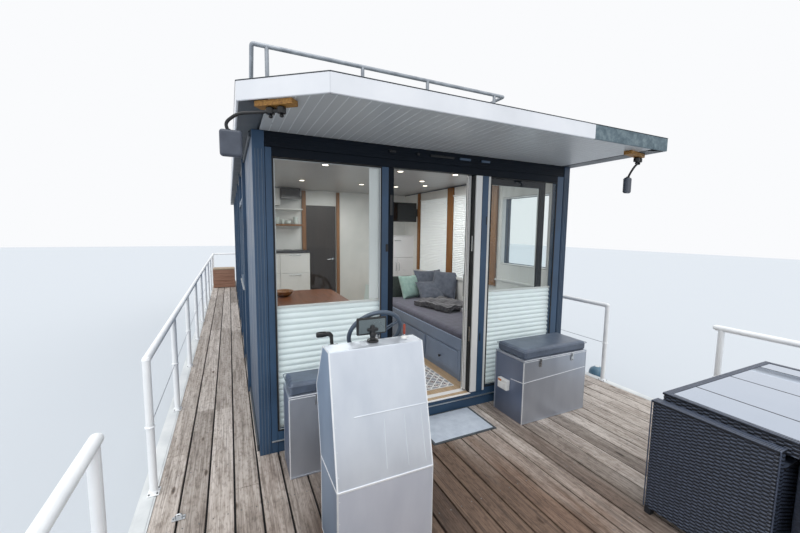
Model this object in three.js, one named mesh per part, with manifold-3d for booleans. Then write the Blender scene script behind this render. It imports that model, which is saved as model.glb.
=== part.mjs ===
// Houseboat: a flat-roofed cabin on two steel pontoons, with a planked deck all round,
// a helm console on the foredeck and an outboard motor at the stern.
//
// Millimetres, +Z up, bow towards -Y, starboard towards -X. The whole boat's frame has its origin
// in the middle of the underside. Everything is placed from a deck datum: the cabin's front
// starboard corner on the deck planks, with X to port, Y aft and Z up.
import * as THREE from 'three';
import { mergeVertices } from 'three/addons/utils/BufferGeometryUtils.js';
import Module from 'manifold-3d';

const wasm = await Module();
wasm.setup();

// Driving dimensions, measured from the deck datum
const seat = 0.3; // the hairline gap between two pieces that rest on each other
const platform = { starboard: -700, port: 3635, bow: -3050, stern: 9950 };
const cabin = { width: 3005, length: 8000, wall: 90, soffit: 2300, floorTop: 125 };
const deck = { starboard: -608, port: 3545, thickness: 28, pitch: 149, gap: 6, groove: 20, firstGap: -472 };
const frameDepth = 120;
const pontoon = { height: 720, width: 1200, inset: 60, chamfer: 90, bowRake: 700, sternRake: 350 };
const fender = { radius: 82.25, seat: 0.5, y: 60, top: 25, bottom: -640 };
const motor = { x: 1467.5, tiltY: 10045, tiltZ: 45, steerY: 10130, cowlBack: 10480 };
const railHeight = 850;
const railRadius = 24;

const fenderOuter = platform.port + fender.seat + 2 * fender.radius;
const deckUnderside = -deck.thickness;
const frameTop = deckUnderside - seat;
const frameBottom = frameTop - frameDepth;
const hullTop = frameBottom - seat;
const hullBottom = hullTop - pontoon.height;

// Boat frame: the datum moves so that the origin is in the middle of the underside
const houseboat = new THREE.Group();
const datum = new THREE.Group();
datum.position.set(
  -(platform.starboard + fenderOuter) / 2,
  -(platform.bow + motor.cowlBack) / 2,
  -hullBottom
);
houseboat.add(datum);

// Finishes: colour, roughness, metalness
const finishes = {
  hullWhite: [0xc9ccc8, 0.5, 0.0],
  galvanised: [0xa8adae, 0.5, 0.6],
  plankWood: [0x8f8072, 0.85, 0.0],
  slateBlue: [0x3d4f63, 0.5, 0.1],
  roofAluminium: [0xc3c9cb, 0.4, 0.6],
  interiorWhite: [0xe9e9e6, 0.4, 0.0],
  floorWood: [0xc9a878, 0.5, 0.0],
  glass: [0x9fb6b4, 0.05, 0.0],
  pleatedFabric: [0xdfeae6, 0.9, 0.0],
  railWhite: [0xe8ebee, 0.4, 0.1],
  railGrey: [0x8f979c, 0.4, 0.6],
  sheetAluminium: [0xc2c6c9, 0.35, 0.9],
  blackPlastic: [0x17181a, 0.5, 0.0],
  darkGreyVinyl: [0x3c434c, 0.6, 0.0],
  greyRim: [0x3b4247, 0.55, 0.0],
  rattan: [0x24272d, 0.7, 0.0],
  brownWood: [0x7a4a2c, 0.7, 0.0],
  furnitureGrey: [0x596573, 0.5, 0.0],
  mattressTaupe: [0x6a6468, 0.9, 0.0],
  fenderBlue: [0x5c7d91, 0.5, 0.0],
  cowlGrey: [0x2b2f34, 0.35, 0.0],
};

function finishNamed(name) {
  const [color, roughness, metalness] = finishes[name];
  return new THREE.MeshStandardMaterial({ color, roughness, metalness, flatShading: true });
}

// Closed three.js geometry to a solid, without the degenerate triangles at lathe poles
function solidOf(geometry) {
  const bare = geometry.clone();
  bare.deleteAttribute('normal');
  bare.deleteAttribute('uv');
  const merged = mergeVertices(bare, 1e-3);
  const index = merged.index.array;
  const triangles = [];
  for (let i = 0; i < index.length; i += 3) {
    const [a, b, c] = [index[i], index[i + 1], index[i + 2]];
    if (a !== b && b !== c && c !== a) triangles.push(a, b, c);
  }
  const vertProperties = new Float32Array(merged.attributes.position.array);
  const mesh = new wasm.Mesh({ numProp: 3, vertProperties, triVerts: new Uint32Array(triangles) });
  return new wasm.Manifold(mesh);
}

function geometryOf(solid) {
  const mesh = solid.getMesh();
  const geometry = new THREE.BufferGeometry();
  geometry.setAttribute('position', new THREE.BufferAttribute(new Float32Array(mesh.vertProperties), 3));
  geometry.setIndex(new THREE.BufferAttribute(new Uint32Array(mesh.triVerts), 1));
  geometry.computeVertexNormals();
  return geometry;
}

function addPart(name, solid, finish) {
  const mesh = new THREE.Mesh(geometryOf(solid), finishNamed(finish));
  mesh.name = name;
  datum.add(mesh);
}

const join = (solids) => solids.reduce((whole, piece) => whole.add(piece));
const cutAll = (body, cutters) => cutters.reduce((rest, cutter) => rest.subtract(cutter), body);

// Block between two corners
function block(x0, x1, y0, y1, z0, z1) {
  const geometry = new THREE.BoxGeometry(x1 - x0, y1 - y0, z1 - z0);
  geometry.translate((x0 + x1) / 2, (y0 + y1) / 2, (z0 + z1) / 2);
  return solidOf(geometry);
}

// Outline of [u, v] points, extruded along one axis: 'x' takes [y, z], 'y' takes [x, z], 'z' takes [x, y]
function prism(axis, points, from, to) {
  const shape = new THREE.Shape(points.map(([u, v]) => new THREE.Vector2(u, v)));
  const geometry = new THREE.ExtrudeGeometry(shape, { depth: to - from, bevelEnabled: false });
  const turn = new THREE.Matrix4();
  const [X, Y, Z] = [new THREE.Vector3(1, 0, 0), new THREE.Vector3(0, 1, 0), new THREE.Vector3(0, 0, 1)];
  if (axis === 'x') turn.makeBasis(Y, Z, X).setPosition(from, 0, 0);
  if (axis === 'y') turn.makeBasis(X, Z, Y.clone().negate()).setPosition(0, to, 0);
  if (axis === 'z') turn.setPosition(0, 0, from);
  geometry.applyMatrix4(turn);
  return solidOf(geometry);
}

// Round bar from a to b
function rod(a, b, radius, sides = 8) {
  const [from, to] = [new THREE.Vector3(...a), new THREE.Vector3(...b)];
  const along = to.clone().sub(from);
  const geometry = new THREE.CylinderGeometry(radius, radius, along.length(), sides);
  const upright = new THREE.Vector3(0, 1, 0);
  geometry.applyQuaternion(new THREE.Quaternion().setFromUnitVectors(upright, along.clone().normalize()));
  const middle = from.add(to).multiplyScalar(0.5);
  geometry.translate(middle.x, middle.y, middle.z);
  return solidOf(geometry);
}

// A route through given points: extrusion along it sets one ring at each point
class Route extends THREE.Curve {
  constructor(points) {
    super();
    this.points = points;
  }

  getSpacedPoints() {
    return this.points;
  }

  getTangentAt(u, target = new THREE.Vector3()) {
    const last = this.points.length - 1;
    const i = Math.round(u * last);
    return target.copy(this.points[Math.min(i + 1, last)]).sub(this.points[Math.max(i - 1, 0)]).normalize();
  }
}

// Bent tube through corner points, each corner rounded in a few steps
function bentTube(corners, radius, bend = 60, sides = 8) {
  const points = corners.map((corner) => new THREE.Vector3(...corner));
  const route = [points[0]];
  for (let i = 1; i + 1 < points.length; i += 1) {
    const towards = (other) => {
      const run = other.clone().sub(points[i]);
      return points[i].clone().add(run.setLength(Math.min(bend, run.length() * 0.4)));
    };
    const curve = new THREE.QuadraticBezierCurve3(towards(points[i - 1]), points[i], towards(points[i + 1]));
    route.push(...curve.getPoints(4));
  }
  route.push(points[points.length - 1]);
  const ring = new THREE.Shape().setFromPoints(Array.from({ length: sides }, (_, k) => {
    const angle = ((k + 0.5) * 2 * Math.PI) / sides;
    return new THREE.Vector2(radius * Math.cos(angle), radius * Math.sin(angle));
  }));
  const path = new Route(route);
  return solidOf(new THREE.ExtrudeGeometry(ring, { steps: route.length - 1, extrudePath: path }));
}

// Turned piece: [radius, height] points about a Z axis through the centre
function turned(points, centre, sides = 16) {
  const profile = points.map(([r, z]) => new THREE.Vector2(r, z));
  const geometry = new THREE.LatheGeometry(profile, sides);
  geometry.rotateX(Math.PI / 2);
  geometry.translate(...centre);
  return solidOf(geometry);
}

// Hull: two pontoons with raked ends and chamfered lower edges
function makePontoon(x0) {
  const [front, back] = [platform.bow + pontoon.inset, platform.stern - 150];
  const side = prism('x', [
    [front, hullTop],
    [front, hullTop - pontoon.height * 0.35],
    [front + pontoon.bowRake, hullBottom],
    [back - pontoon.sternRake, hullBottom],
    [back, hullTop - pontoon.height * 0.35],
    [back, hullTop],
  ], x0, x0 + pontoon.width);
  const x1 = x0 + pontoon.width;
  const section = prism('y', [
    [x0, hullTop],
    [x0, hullBottom + pontoon.chamfer],
    [x0 + pontoon.chamfer, hullBottom],
    [x1 - pontoon.chamfer, hullBottom],
    [x1, hullBottom + pontoon.chamfer],
    [x1, hullTop],
  ], front - 1, back + 1);
  return side.intersect(section);
}
addPart('pontoon_starboard', makePontoon(platform.starboard + pontoon.inset), 'hullWhite');
addPart('pontoon_port', makePontoon(platform.port - pontoon.inset - pontoon.width), 'hullWhite');

// Deck frame: white edge channels, cross beams, stringers and the transom plate in one welded piece
const edgeWidth = 89;
const edgeTop = -4;
function makeDeckFrame() {
  const { starboard, port, bow, stern } = platform;
  const inner = edgeWidth / 2;
  const rim = block(starboard, port, bow, stern, frameBottom, edgeTop).subtract(block(
    starboard + edgeWidth, port - edgeWidth, bow + edgeWidth, stern - edgeWidth, frameBottom - 1, edgeTop + 1
  ));
  const beams = [];
  const beamCount = 12;
  for (let i = 1; i <= beamCount; i += 1) {
    const y = bow + (i * (stern - bow)) / (beamCount + 1);
    beams.push(block(starboard + inner, port - inner, y - 30, y + 30, frameBottom + 10, frameTop));
  }
  const stringers = [360, motor.x, 2575].map((x) =>
    block(x - 30, x + 30, bow + inner, stern - inner, frameBottom + 30, frameTop - 10));
  const transom = block(
    motor.x - 260, motor.x + 260, stern - inner, stern + 40, frameBottom - 320, edgeTop - 5
  );
  return join([rim, ...beams, ...stringers, transom]);
}
addPart('deck_frame', makeDeckFrame(), 'galvanised');

// Deck: planks running fore and aft, held together by a thin board below the gaps between them
function makeDecking(x0, x1, y0, y1) {
  const outline = [[x0, deckUnderside], [x1, deckUnderside], [x1, 0]];
  const gaps = [];
  for (let x = deck.firstGap; x < x1; x += deck.pitch) {
    if (x - deck.gap > x0 && x + deck.gap < x1) gaps.push(x);
  }
  for (const x of gaps.reverse()) {
    outline.push([x + deck.gap / 2, 0], [x + deck.gap / 2, -deck.groove]);
    outline.push([x - deck.gap / 2, -deck.groove], [x - deck.gap / 2, 0]);
  }
  outline.push([x0, 0]);
  return prism('y', outline, y0, y1);
}
const deckBow = platform.bow + edgeWidth + seat;
const deckStern = platform.stern - edgeWidth - seat;
const cabinPort = cabin.width;
addPart('deck_starboard', makeDecking(deck.starboard, -seat, deckBow, deckStern), 'plankWood');
addPart('deck_port', makeDecking(cabinPort + seat, deck.port, deckBow, deckStern), 'plankWood');
addPart('deck_fore', makeDecking(0, cabinPort, deckBow, -seat), 'plankWood');
addPart('deck_stern', makeDecking(0, cabinPort, cabin.length + seat, deckStern), 'plankWood');

// Cabin front: corner posts, mullions, header and sill round two fixed panes and the doorway
const front = { depth: 60, trackDepth: 120, paneBottom: 155, paneTop: 2132, sill: 125 };
const bays = [
  // name, x0, x1, z0
  ['starboard', 125, 940, front.paneBottom],
  ['doorway', 1041, 1846, front.sill],
  ['port', 2010, 2841, front.paneBottom],
];
const wallTop = cabin.soffit - seat;
const leaf = { x0: 1812, x1: 2750, y0: 66, y1: 106, z0: 136, z1: 2144, stile: 72, travel: 820 };
function makeFrontFrame() {
  const face = block(0, cabin.width, 0, front.depth, deckUnderside, wallTop);
  const openings = bays.map(([, x0, x1, z0]) => block(x0, x1, -1, front.depth + 1, z0, front.paneTop));
  const trackBottom = block(95, 2910, front.depth - 1, front.trackDepth, deckUnderside, leaf.z0 - 6);
  const trackTop = block(95, 2910, front.depth - 1, front.trackDepth, leaf.z1 + 6, wallTop);
  return join([cutAll(face, openings), trackBottom, trackTop]);
}
addPart('front_frame', makeFrontFrame(), 'slateBlue');
for (const [name, x0, x1, z0] of bays) {
  if (name === 'doorway') continue;
  const pane = block(x0 + seat, x1 - seat, 10, 22, z0 + seat, front.paneTop - seat);
  addPart(`glass_front_${name}`, pane, 'glass');
}

// Sliding door leaf, parked open behind the fixed port pane, on two rollers in the lower track
function makeLeaf() {
  const { x0, x1, y0, y1, z0, z1, stile } = leaf;
  const slab = block(x0, x1, y0, y1, z0, z1);
  const light = block(x0 + stile, x1 - stile, y0 - 1, y1 + 1, z0 + stile, z1 - stile);
  const rollers = [x0 + 150, x1 - 150].map((x) => block(x - 25, x + 25, y0 + 8, y1 - 8, z0 - 5.6, z0 + 1));
  return join([slab.subtract(light), ...rollers]);
}
addPart('door_leaf', makeLeaf(), 'slateBlue');
const leafGlass = block(
  leaf.x0 + leaf.stile + seat, leaf.x1 - leaf.stile - seat, 80, 92,
  leaf.z0 + leaf.stile + seat, leaf.z1 - leaf.stile - seat
);
addPart('door_leaf_glass', leafGlass, 'glass');

// Pleated blinds in front of the lower half of each fixed pane, between the pane and the leaf's track
function makeBlind(x0, x1, z0, z1, y0, depth) {
  const pleats = Math.round((z1 - z0) / 44);
  const pitch = (z1 - z0) / pleats;
  const outline = [[y0 + depth, z0]];
  for (let i = 0; i < pleats; i += 1) {
    outline.push([y0 + depth * 0.75, z0 + (i + 0.5) * pitch], [y0 + depth, z0 + (i + 1) * pitch]);
  }
  const back = outline.map(([y, z]) => [y - depth * 0.5, z]);
  return prism('x', [...outline, ...back.reverse()], x0, x1);
}
const blind = { y0: 28, depth: 24 };
for (const [name, x0, x1, z0] of bays) {
  if (name === 'doorway') continue;
  const shade = makeBlind(x0 + seat, x1 - seat, z0 + 8, 1084, blind.y0, blind.depth);
  addPart(`blind_${name}`, shade, 'pleatedFabric');
}

// Cabin walls: slabs with their windows cut, raised window frames and upright battens outside
const sideWindows = [
  // side, number, y0, y1, z0, z1
  ['starboard', 1, 1330, 2110, 1080, 1900],
  ['port', 1, 150, 880, 1240, 2050],
  ['port', 2, 2130, 2900, 950, 2050],
  ['port', 3, 5560, 6340, 1080, 1900],
];
const battens = [1190, 2250, 3310, 4370, 5430, 6490, 7550];
const battenDepth = 28;
const frameLip = 45;
function makeSideWall(side) {
  const [x0, x1] = side === 'starboard' ? [0, cabin.wall] : [cabin.width - cabin.wall, cabin.width];
  const [out0, out1] = side === 'starboard' ? [-battenDepth, 1] : [cabin.width - 1, cabin.width + battenDepth];
  const firstY = front.depth + seat;
  const pieces = [block(x0, x1, firstY, cabin.length, deckUnderside, wallTop)];
  for (const y of battens) pieces.push(block(out0, out1, y - 30, y + 30, seat, wallTop));
  const holes = [];
  for (const [onSide, , y0, y1, z0, z1] of sideWindows) {
    if (onSide !== side) continue;
    pieces.push(block(out0, out1, y0 - frameLip, y1 + frameLip, z0 - frameLip, z1 + frameLip));
    holes.push(block(x0 - 100, x1 + 100, y0, y1, z0, z1));
  }
  return cutAll(join(pieces), holes);
}
addPart('wall_starboard', makeSideWall('starboard'), 'slateBlue');
addPart('wall_port', makeSideWall('port'), 'slateBlue');
const sidePane = { thickness: 16, inset: 30 };
for (const [side, number, y0, y1, z0, z1] of sideWindows) {
  const x = side === 'starboard' ? sidePane.inset : cabin.width - sidePane.inset - sidePane.thickness;
  const pane = block(x, x + sidePane.thickness, y0 + seat, y1 - seat, z0 + seat, z1 - seat);
  addPart(`glass_${side}_${number}`, pane, 'glass');
}

// A hinged door in a cross wall: the slab swings aft about a pin at its starboard edge
const hinge = { pinRadius: 5, pinInset: 2, pinOut: 6, plateOut: 9, clearance: 0.4, heights: [350, 1800] };
const doorGap = 5;
function makeCrossWall(y0, y1, opening) {
  const wall = block(
    cabin.wall + seat, cabin.width - cabin.wall - seat, y0, y1, cabin.floorTop + seat, wallTop
  );
  const hole = block(opening.x0, opening.x1, y0 - 1, y1 + 1, cabin.floorTop - 1, opening.z1);
  const knuckles = hinge.heights.map((z) => join([
    rod([opening.x0 + hinge.pinInset, y1 + hinge.pinOut, z - 45],
      [opening.x0 + hinge.pinInset, y1 + hinge.pinOut, z + 45], hinge.pinRadius),
    block(opening.x0 - 40, opening.x0 + hinge.pinInset, y1 - 1, y1 + 4, z - 45, z + 45),
  ]));
  return join([wall.subtract(hole), ...knuckles]);
}
function makeHingedSlab(y1, thickness, opening, light) {
  const x0 = opening.x0 + doorGap;
  const slab = block(x0, opening.x1 - doorGap, y1 - doorGap - thickness, y1 - doorGap,
    opening.z0 + doorGap, opening.z1 - doorGap);
  const leaves = hinge.heights.map((z) => {
    const plateStart = opening.x0 + hinge.pinInset + hinge.pinRadius + hinge.clearance;
    return block(plateStart, plateStart + 40, y1 - doorGap - 1, y1 + hinge.plateOut, z - 40, z + 40);
  });
  const body = join([slab, ...leaves]);
  if (!light) return body;
  return body.subtract(block(light[0], light[1], y1 - 100, y1 + 1, light[2], light[3]));
}
const sternDoorway = { x0: 1900, x1: 2650, z0: cabin.floorTop, z1: 2050 };
const innerDoorway = { x0: 1040, x1: 1560, z0: cabin.floorTop, z1: 2050 };
const partitionY = 3650;
addPart('wall_stern', makeCrossWall(cabin.length - cabin.wall, cabin.length, sternDoorway), 'slateBlue');
addPart('stern_door', makeHingedSlab(cabin.length, 40, sternDoorway), 'slateBlue');
addPart('partition', makeCrossWall(partitionY, partitionY + 60, innerDoorway), 'interiorWhite');
addPart('inner_door', makeHingedSlab(partitionY + 60, 40, innerDoorway), 'blackPlastic');

// Cabin floor between the walls
const floor = block(
  cabin.wall + seat, cabin.width - cabin.wall - seat,
  front.trackDepth + seat, cabin.length, deckUnderside, cabin.floorTop
);
addPart('cabin_floor', floor, 'floorWood');

// Roof: one insulated slab with a chamfered helm-side corner, sheet edges and the ceiling below
const roof = { starboard: -100, port: 3070, bow: -865, stern: 8600, top: 2400, deck: 2375, lip: 14 };
const roofOutline = [
  [roof.starboard, -530], [310, roof.bow], [roof.port, roof.bow],
  [roof.port, roof.stern], [roof.starboard, roof.stern],
];
// Convex outline moved inwards by a distance, corner by corner (points run anticlockwise)
function insetOutline(points, distance) {
  const edges = points.map((point, i) => {
    const next = points[(i + 1) % points.length];
    const [dx, dy] = [next[0] - point[0], next[1] - point[1]];
    const length = Math.hypot(dx, dy);
    const normal = [-dy / length, dx / length];
    return { normal, offset: normal[0] * point[0] + normal[1] * point[1] + distance };
  });
  return edges.map((edge, i) => {
    const before = edges[(i + edges.length - 1) % edges.length];
    const det = before.normal[0] * edge.normal[1] - before.normal[1] * edge.normal[0];
    return [
      (before.offset * edge.normal[1] - edge.offset * before.normal[1]) / det,
      (edge.offset * before.normal[0] - before.offset * edge.normal[0]) / det,
    ];
  });
}
function makeRoof() {
  const slab = prism('z', roofOutline, cabin.soffit, roof.top);
  const well = prism('z', insetOutline(roofOutline, roof.lip), roof.deck, roof.top + 1);
  return slab.subtract(well);
}
addPart('roof', makeRoof(), 'roofAluminium');

// Grab rail along the roof's front edge
const roofRail = {
  x0: -15, x1: 1685, y: -480, z: 2615, radius: 12,
  returnLength: 180, legRun: 170, posts: [60, 604, 1051, 1600],
};
function makeRoofRail() {
  const { x0, x1, y, z, radius, returnLength, legRun, posts } = roofRail;
  const foot = roof.deck + seat;
  const legY = y + returnLength + legRun;
  const top = bentTube([
    [x0, y + legRun, foot + 10], [x0, y, z], [x1, y, z],
    [x1, y + returnLength, z], [x1, legY, foot + 10],
  ], radius);
  const uprights = posts.map((x) => rod([x, y, foot], [x, y, z], radius - 1));
  const footPlate = (x, plateY) => block(x - 30, x + 30, plateY - 30, plateY + 30, foot, foot + 8);
  const plates = [...posts.map((x) => footPlate(x, y)), footPlate(x0, y + legRun), footPlate(x1, legY)];
  return join([top, ...uprights, ...plates]);
}
addPart('roof_rail', makeRoofRail(), 'railGrey');

// Rear-view mirrors on wooden blocks under the roof's front corners
function makeMirror(blockFrom, blockTo, joint, elbow, head, size) {
  const blockTop = cabin.soffit - seat;
  const [dx, dy] = [blockTo[0] - blockFrom[0], blockTo[1] - blockFrom[1]];
  const length = Math.hypot(dx, dy);
  const [nx, ny] = [(-dy / length) * 35, (dx / length) * 35];
  const plate = prism('z', [
    [blockFrom[0] + nx, blockFrom[1] + ny], [blockFrom[0] - nx, blockFrom[1] - ny],
    [blockTo[0] - nx, blockTo[1] - ny], [blockTo[0] + nx, blockTo[1] + ny],
  ], blockTop - 40, blockTop);
  const clamp = rod([joint[0], joint[1], blockTop - 75], [joint[0], joint[1], blockTop - 30], 22, 10);
  const arm = bentTube([[joint[0], joint[1], blockTop - 62], elbow, head], 9, 30);
  const [halfWidth, halfDepth] = [size[0] / 2, size[1] / 2];
  const shell = block(
    head[0] - halfWidth, head[0] + halfWidth, head[1] - halfDepth, head[1] + halfDepth,
    head[2] - size[2], head[2] + 20
  );
  return join([plate, clamp, arm, shell]);
}
addPart('mirror_starboard', makeMirror(
  [-10, -560], [190, -770], [95, -600], [-95, -570, 2205], [-130, -560, 2135], [110, 45, 120]
), 'blackPlastic');
addPart('mirror_port', makeMirror(
  [2760, -745], [3020, -690], [3000, -690], [3005, -650, 2215], [2975, -620, 2110], [70, 45, 120]
), 'blackPlastic');

// Railings: posts on foot plates along the edge, with a round top rail; gates stay open at each side
const railX = { starboard: -628, port: 3566 };
const railEnd = { bow: platform.bow + 55, stern: platform.stern - 55 };
function makeRailing(route, posts) {
  const pieces = [bentTube(route, railRadius)];
  for (const [x, y] of posts) {
    pieces.push(rod([x, y, seat], [x, y, railHeight], railRadius - 1));
    pieces.push(block(x - 32, x + 32, y - 40, y + 40, seat, 8));
  }
  return join(pieces);
}
const gateForeEnd = -1020;
const gateAftEnd = -120;
const asideY = (from, to, pitch) => {
  const places = [];
  for (let y = from; y <= to; y += pitch) places.push(y);
  return places;
};
function makeSideRail(side, end) {
  const x = railX[side];
  const inward = side === 'starboard' ? 1 : -1;
  const gateX = end === 'bow' ? motor.x - inward * 560 : motor.x - inward * 480;
  const y0 = end === 'bow' ? gateForeEnd : gateAftEnd;
  const corner = railEnd[end];
  const route = [[x, y0, railHeight], [x, corner, railHeight], [gateX, corner, railHeight]];
  const inset = 45;
  const posts = end === 'bow'
    ? [-1060, -2020].map((y) => [x, y])
    : asideY(gateAftEnd, 9100, 1150).map((y) => [x, y]);
  const gatePostX = gateX - inward * inset;
  posts.push([x, corner - Math.sign(corner) * 120], [(x + gatePostX) / 2, corner], [gatePostX, corner]);
  return makeRailing(route, posts);
}
addPart('railing_starboard_fore', makeSideRail('starboard', 'bow'), 'railWhite');
addPart('railing_starboard_aft', makeSideRail('starboard', 'stern'), 'railWhite');
addPart('railing_port_fore', makeSideRail('port', 'bow'), 'railWhite');
addPart('railing_port_aft', makeSideRail('port', 'stern'), 'railWhite');

// Helm console of bent aluminium sheet, its sloping back facing the helmsman
const consoleX = { x0: 258, x1: 772 };
const consoleTop = 1053;
const consoleProfile = {
  // [y, z]
  topFront: [-994, consoleTop], frontKink: [-1137, 423], frontFoot: [-1137, seat],
  backFoot: [-815, seat], backLow: [-807, 423], backKink: [-717, 790], topBack: [-872, consoleTop],
};
addPart('helm_console', prism('x', Object.values(consoleProfile), consoleX.x0, consoleX.x1), 'sheetAluminium');

// Steering wheel on the console's sloping back: its axis is square to that slope
const slope = new THREE.Vector3(0, consoleProfile.backKink[0] - consoleProfile.topBack[0],
  consoleProfile.backKink[1] - consoleProfile.topBack[1]).normalize();
const wheelAxis = new THREE.Vector3(0, -slope.z, slope.y);
const wheel = { x: 580, down: 38, rim: 153, tube: 12, off: 81 };
function makeWheel() {
  const rim = new THREE.TorusGeometry(wheel.rim, wheel.tube, 8, 28);
  const pieces = [solidOf(rim)];
  pieces.push(rod([0, 0, -wheel.off + 0.4], [0, 0, 12], 22, 12));
  for (const turn of [0, 1, 2]) {
    const angle = Math.PI / 2 + (turn * 2 * Math.PI) / 3;
    pieces.push(rod([0, 0, 0], [wheel.rim * Math.cos(angle), wheel.rim * Math.sin(angle), 0], 9));
  }
  return join(pieces);
}
const topBack = consoleProfile.topBack;
const wheelFoot = [wheel.x, topBack[0] + slope.y * wheel.down, topBack[1] + slope.z * wheel.down];
const wheelCentre = wheelFoot.map((value, i) => value + wheelAxis.getComponent(i) * wheel.off);
const wheelTurn = new THREE.Quaternion().setFromUnitVectors(new THREE.Vector3(0, 0, 1), wheelAxis);
const wheelMatrix = new THREE.Matrix4().compose(
  new THREE.Vector3(...wheelCentre), wheelTurn, new THREE.Vector3(1, 1, 1)
);
addPart('steering_wheel', solidOf(geometryOf(makeWheel()).applyMatrix4(wheelMatrix)), 'greyRim');

// Throttle lever box near the top of the sloping back, chart display on its bracket on the top
const throttle = { x: 326, down: 76, width: 65, height: 82, depth: 36, leverTop: [-783, 1083], gripLeft: 247 };
function makeThrottle() {
  const box = new THREE.BoxGeometry(throttle.width, throttle.height, throttle.depth);
  box.translate(0, 0, throttle.depth / 2 + seat);
  const lean = new THREE.Matrix4().makeBasis(new THREE.Vector3(1, 0, 0), slope, wheelAxis);
  const foot = [throttle.x, topBack[0] + slope.y * throttle.down, topBack[1] + slope.z * throttle.down];
  box.applyMatrix4(lean.setPosition(...foot));
  const [leverY, leverZ] = throttle.leverTop;
  const middle = foot.map((value, i) => value + wheelAxis.getComponent(i) * 26);
  const lever = bentTube([middle, [throttle.x, leverY, leverZ], [throttle.gripLeft, leverY, leverZ]], 10, 20);
  return join([solidOf(box), lever]);
}
addPart('throttle', makeThrottle(), 'blackPlastic');
const chart = { x0: 432, x1: 602, y: -909, z0: consoleTop + 34, z1: consoleTop + 128, depth: 22 };
const chartX = (chart.x0 + chart.x1) / 2;
addPart('chart_display', join([
  block(chart.x0, chart.x1, chart.y, chart.y + chart.depth, chart.z0, chart.z1),
  rod([chartX, chart.y, consoleTop + 11], [chartX, chart.y + 7, consoleTop + 68], 14),
  block(chartX - 30, chartX + 30, chart.y - 34, chart.y + 26, consoleTop + seat, consoleTop + 14),
]), 'blackPlastic');

// Box seats: folded aluminium boxes with hinged lids that carry a cushion
const lockers = [
  // side, x0, x1, y0, y1
  ['starboard', 157, 917, -352, -100],
  ['port', 2045, 2805, -460, -100],
];
const locker = { height: 545, sheet: 12, lid: 20, cushion: 55 };
for (const [side, x0, x1, y0, y1] of lockers) {
  const outer = block(x0, x1, y0, y1, seat, locker.height);
  const room = block(x0 + locker.sheet, x1 - locker.sheet, y0 + locker.sheet, y1 - locker.sheet,
    locker.sheet, locker.height + 1);
  addPart(`locker_${side}`, outer.subtract(room), 'sheetAluminium');
  const lidZ = locker.height + seat;
  addPart(`locker_lid_${side}`, block(x0, x1, y0 - 3, y1, lidZ, lidZ + locker.lid), 'sheetAluminium');
  const cushionZ = lidZ + locker.lid + seat;
  const pad = block(x0 - 5, x1 + 5, y0 - 6, y1 - 4, cushionZ, cushionZ + locker.cushion);
  addPart(`cushion_${side}`, pad, 'darkGreyVinyl');
}

// Wooden crate at the aft end of the starboard walkway
addPart('deck_crate', block(-590, -45, 8420, 8900, seat, 530), 'brownWood');

// Rattan table with four chairs tucked under it
const set = {
  x0: 2010, x1: 3462, y0: -2650, y1: -1480, tableTop: 720, chairTop: 690, chairWidth: 545, chairDepth: 520,
};
function makeTable() {
  const top = block(set.x0 + 92, set.x1 - 92, set.y0 + 6, set.y1 - 6, 664, set.tableTop);
  const spineY = (set.y0 + set.y1) / 2;
  const spine = block(set.x0 + 150, set.x1 - 150, spineY - 28, spineY + 28, seat, 665);
  return join([top, spine]);
}
addPart('dining_table', makeTable(), 'rattan');
function makeChair(outerX, inward, y0) {
  const y1 = y0 + set.chairWidth;
  const span = (a, b) => [outerX + inward * a, outerX + inward * b].sort((p, q) => p - q);
  const back = block(...span(0, 60), y0, y1, 40, set.chairTop);
  const seatPad = block(...span(0, set.chairDepth), y0, y1, 300, 380);
  const arms = [[y0, y0 + 45], [y1 - 45, y1]].map(([a, b]) => block(...span(0, set.chairDepth), a, b, 40, 600));
  const feet = [];
  for (const [a, b] of [[5, 45], [set.chairDepth - 45, set.chairDepth - 5]]) {
    for (const y of [y0 + 3, y1 - 43]) feet.push(block(...span(a, b), y, y + 40, seat, 41));
  }
  return join([back, seatPad, ...arms, ...feet]);
}
const chairs = [
  // name, outer x, inward, y0
  ['starboard_aft', set.x0, 1, set.y1 - set.chairWidth],
  ['starboard_fore', set.x0, 1, set.y0],
  ['port_aft', set.x1, -1, set.y1 - set.chairWidth],
  ['port_fore', set.x1, -1, set.y0],
];
for (const [name, outerX, inward, y0] of chairs) {
  addPart(`dining_chair_${name}`, makeChair(outerX, inward, y0), 'rattan');
}

// Fender hanging against the port edge, its eye on a short line to the railing post's foot
const fenderX = platform.port + fender.seat + fender.radius;
addPart('fender', turned([
  [0, fender.bottom], [30, fender.bottom], [fender.radius, fender.bottom + 75],
  [fender.radius, fender.top - 75], [30, fender.top], [0, fender.top],
], [fenderX, fender.y, 0], 16), 'fenderBlue');

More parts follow.
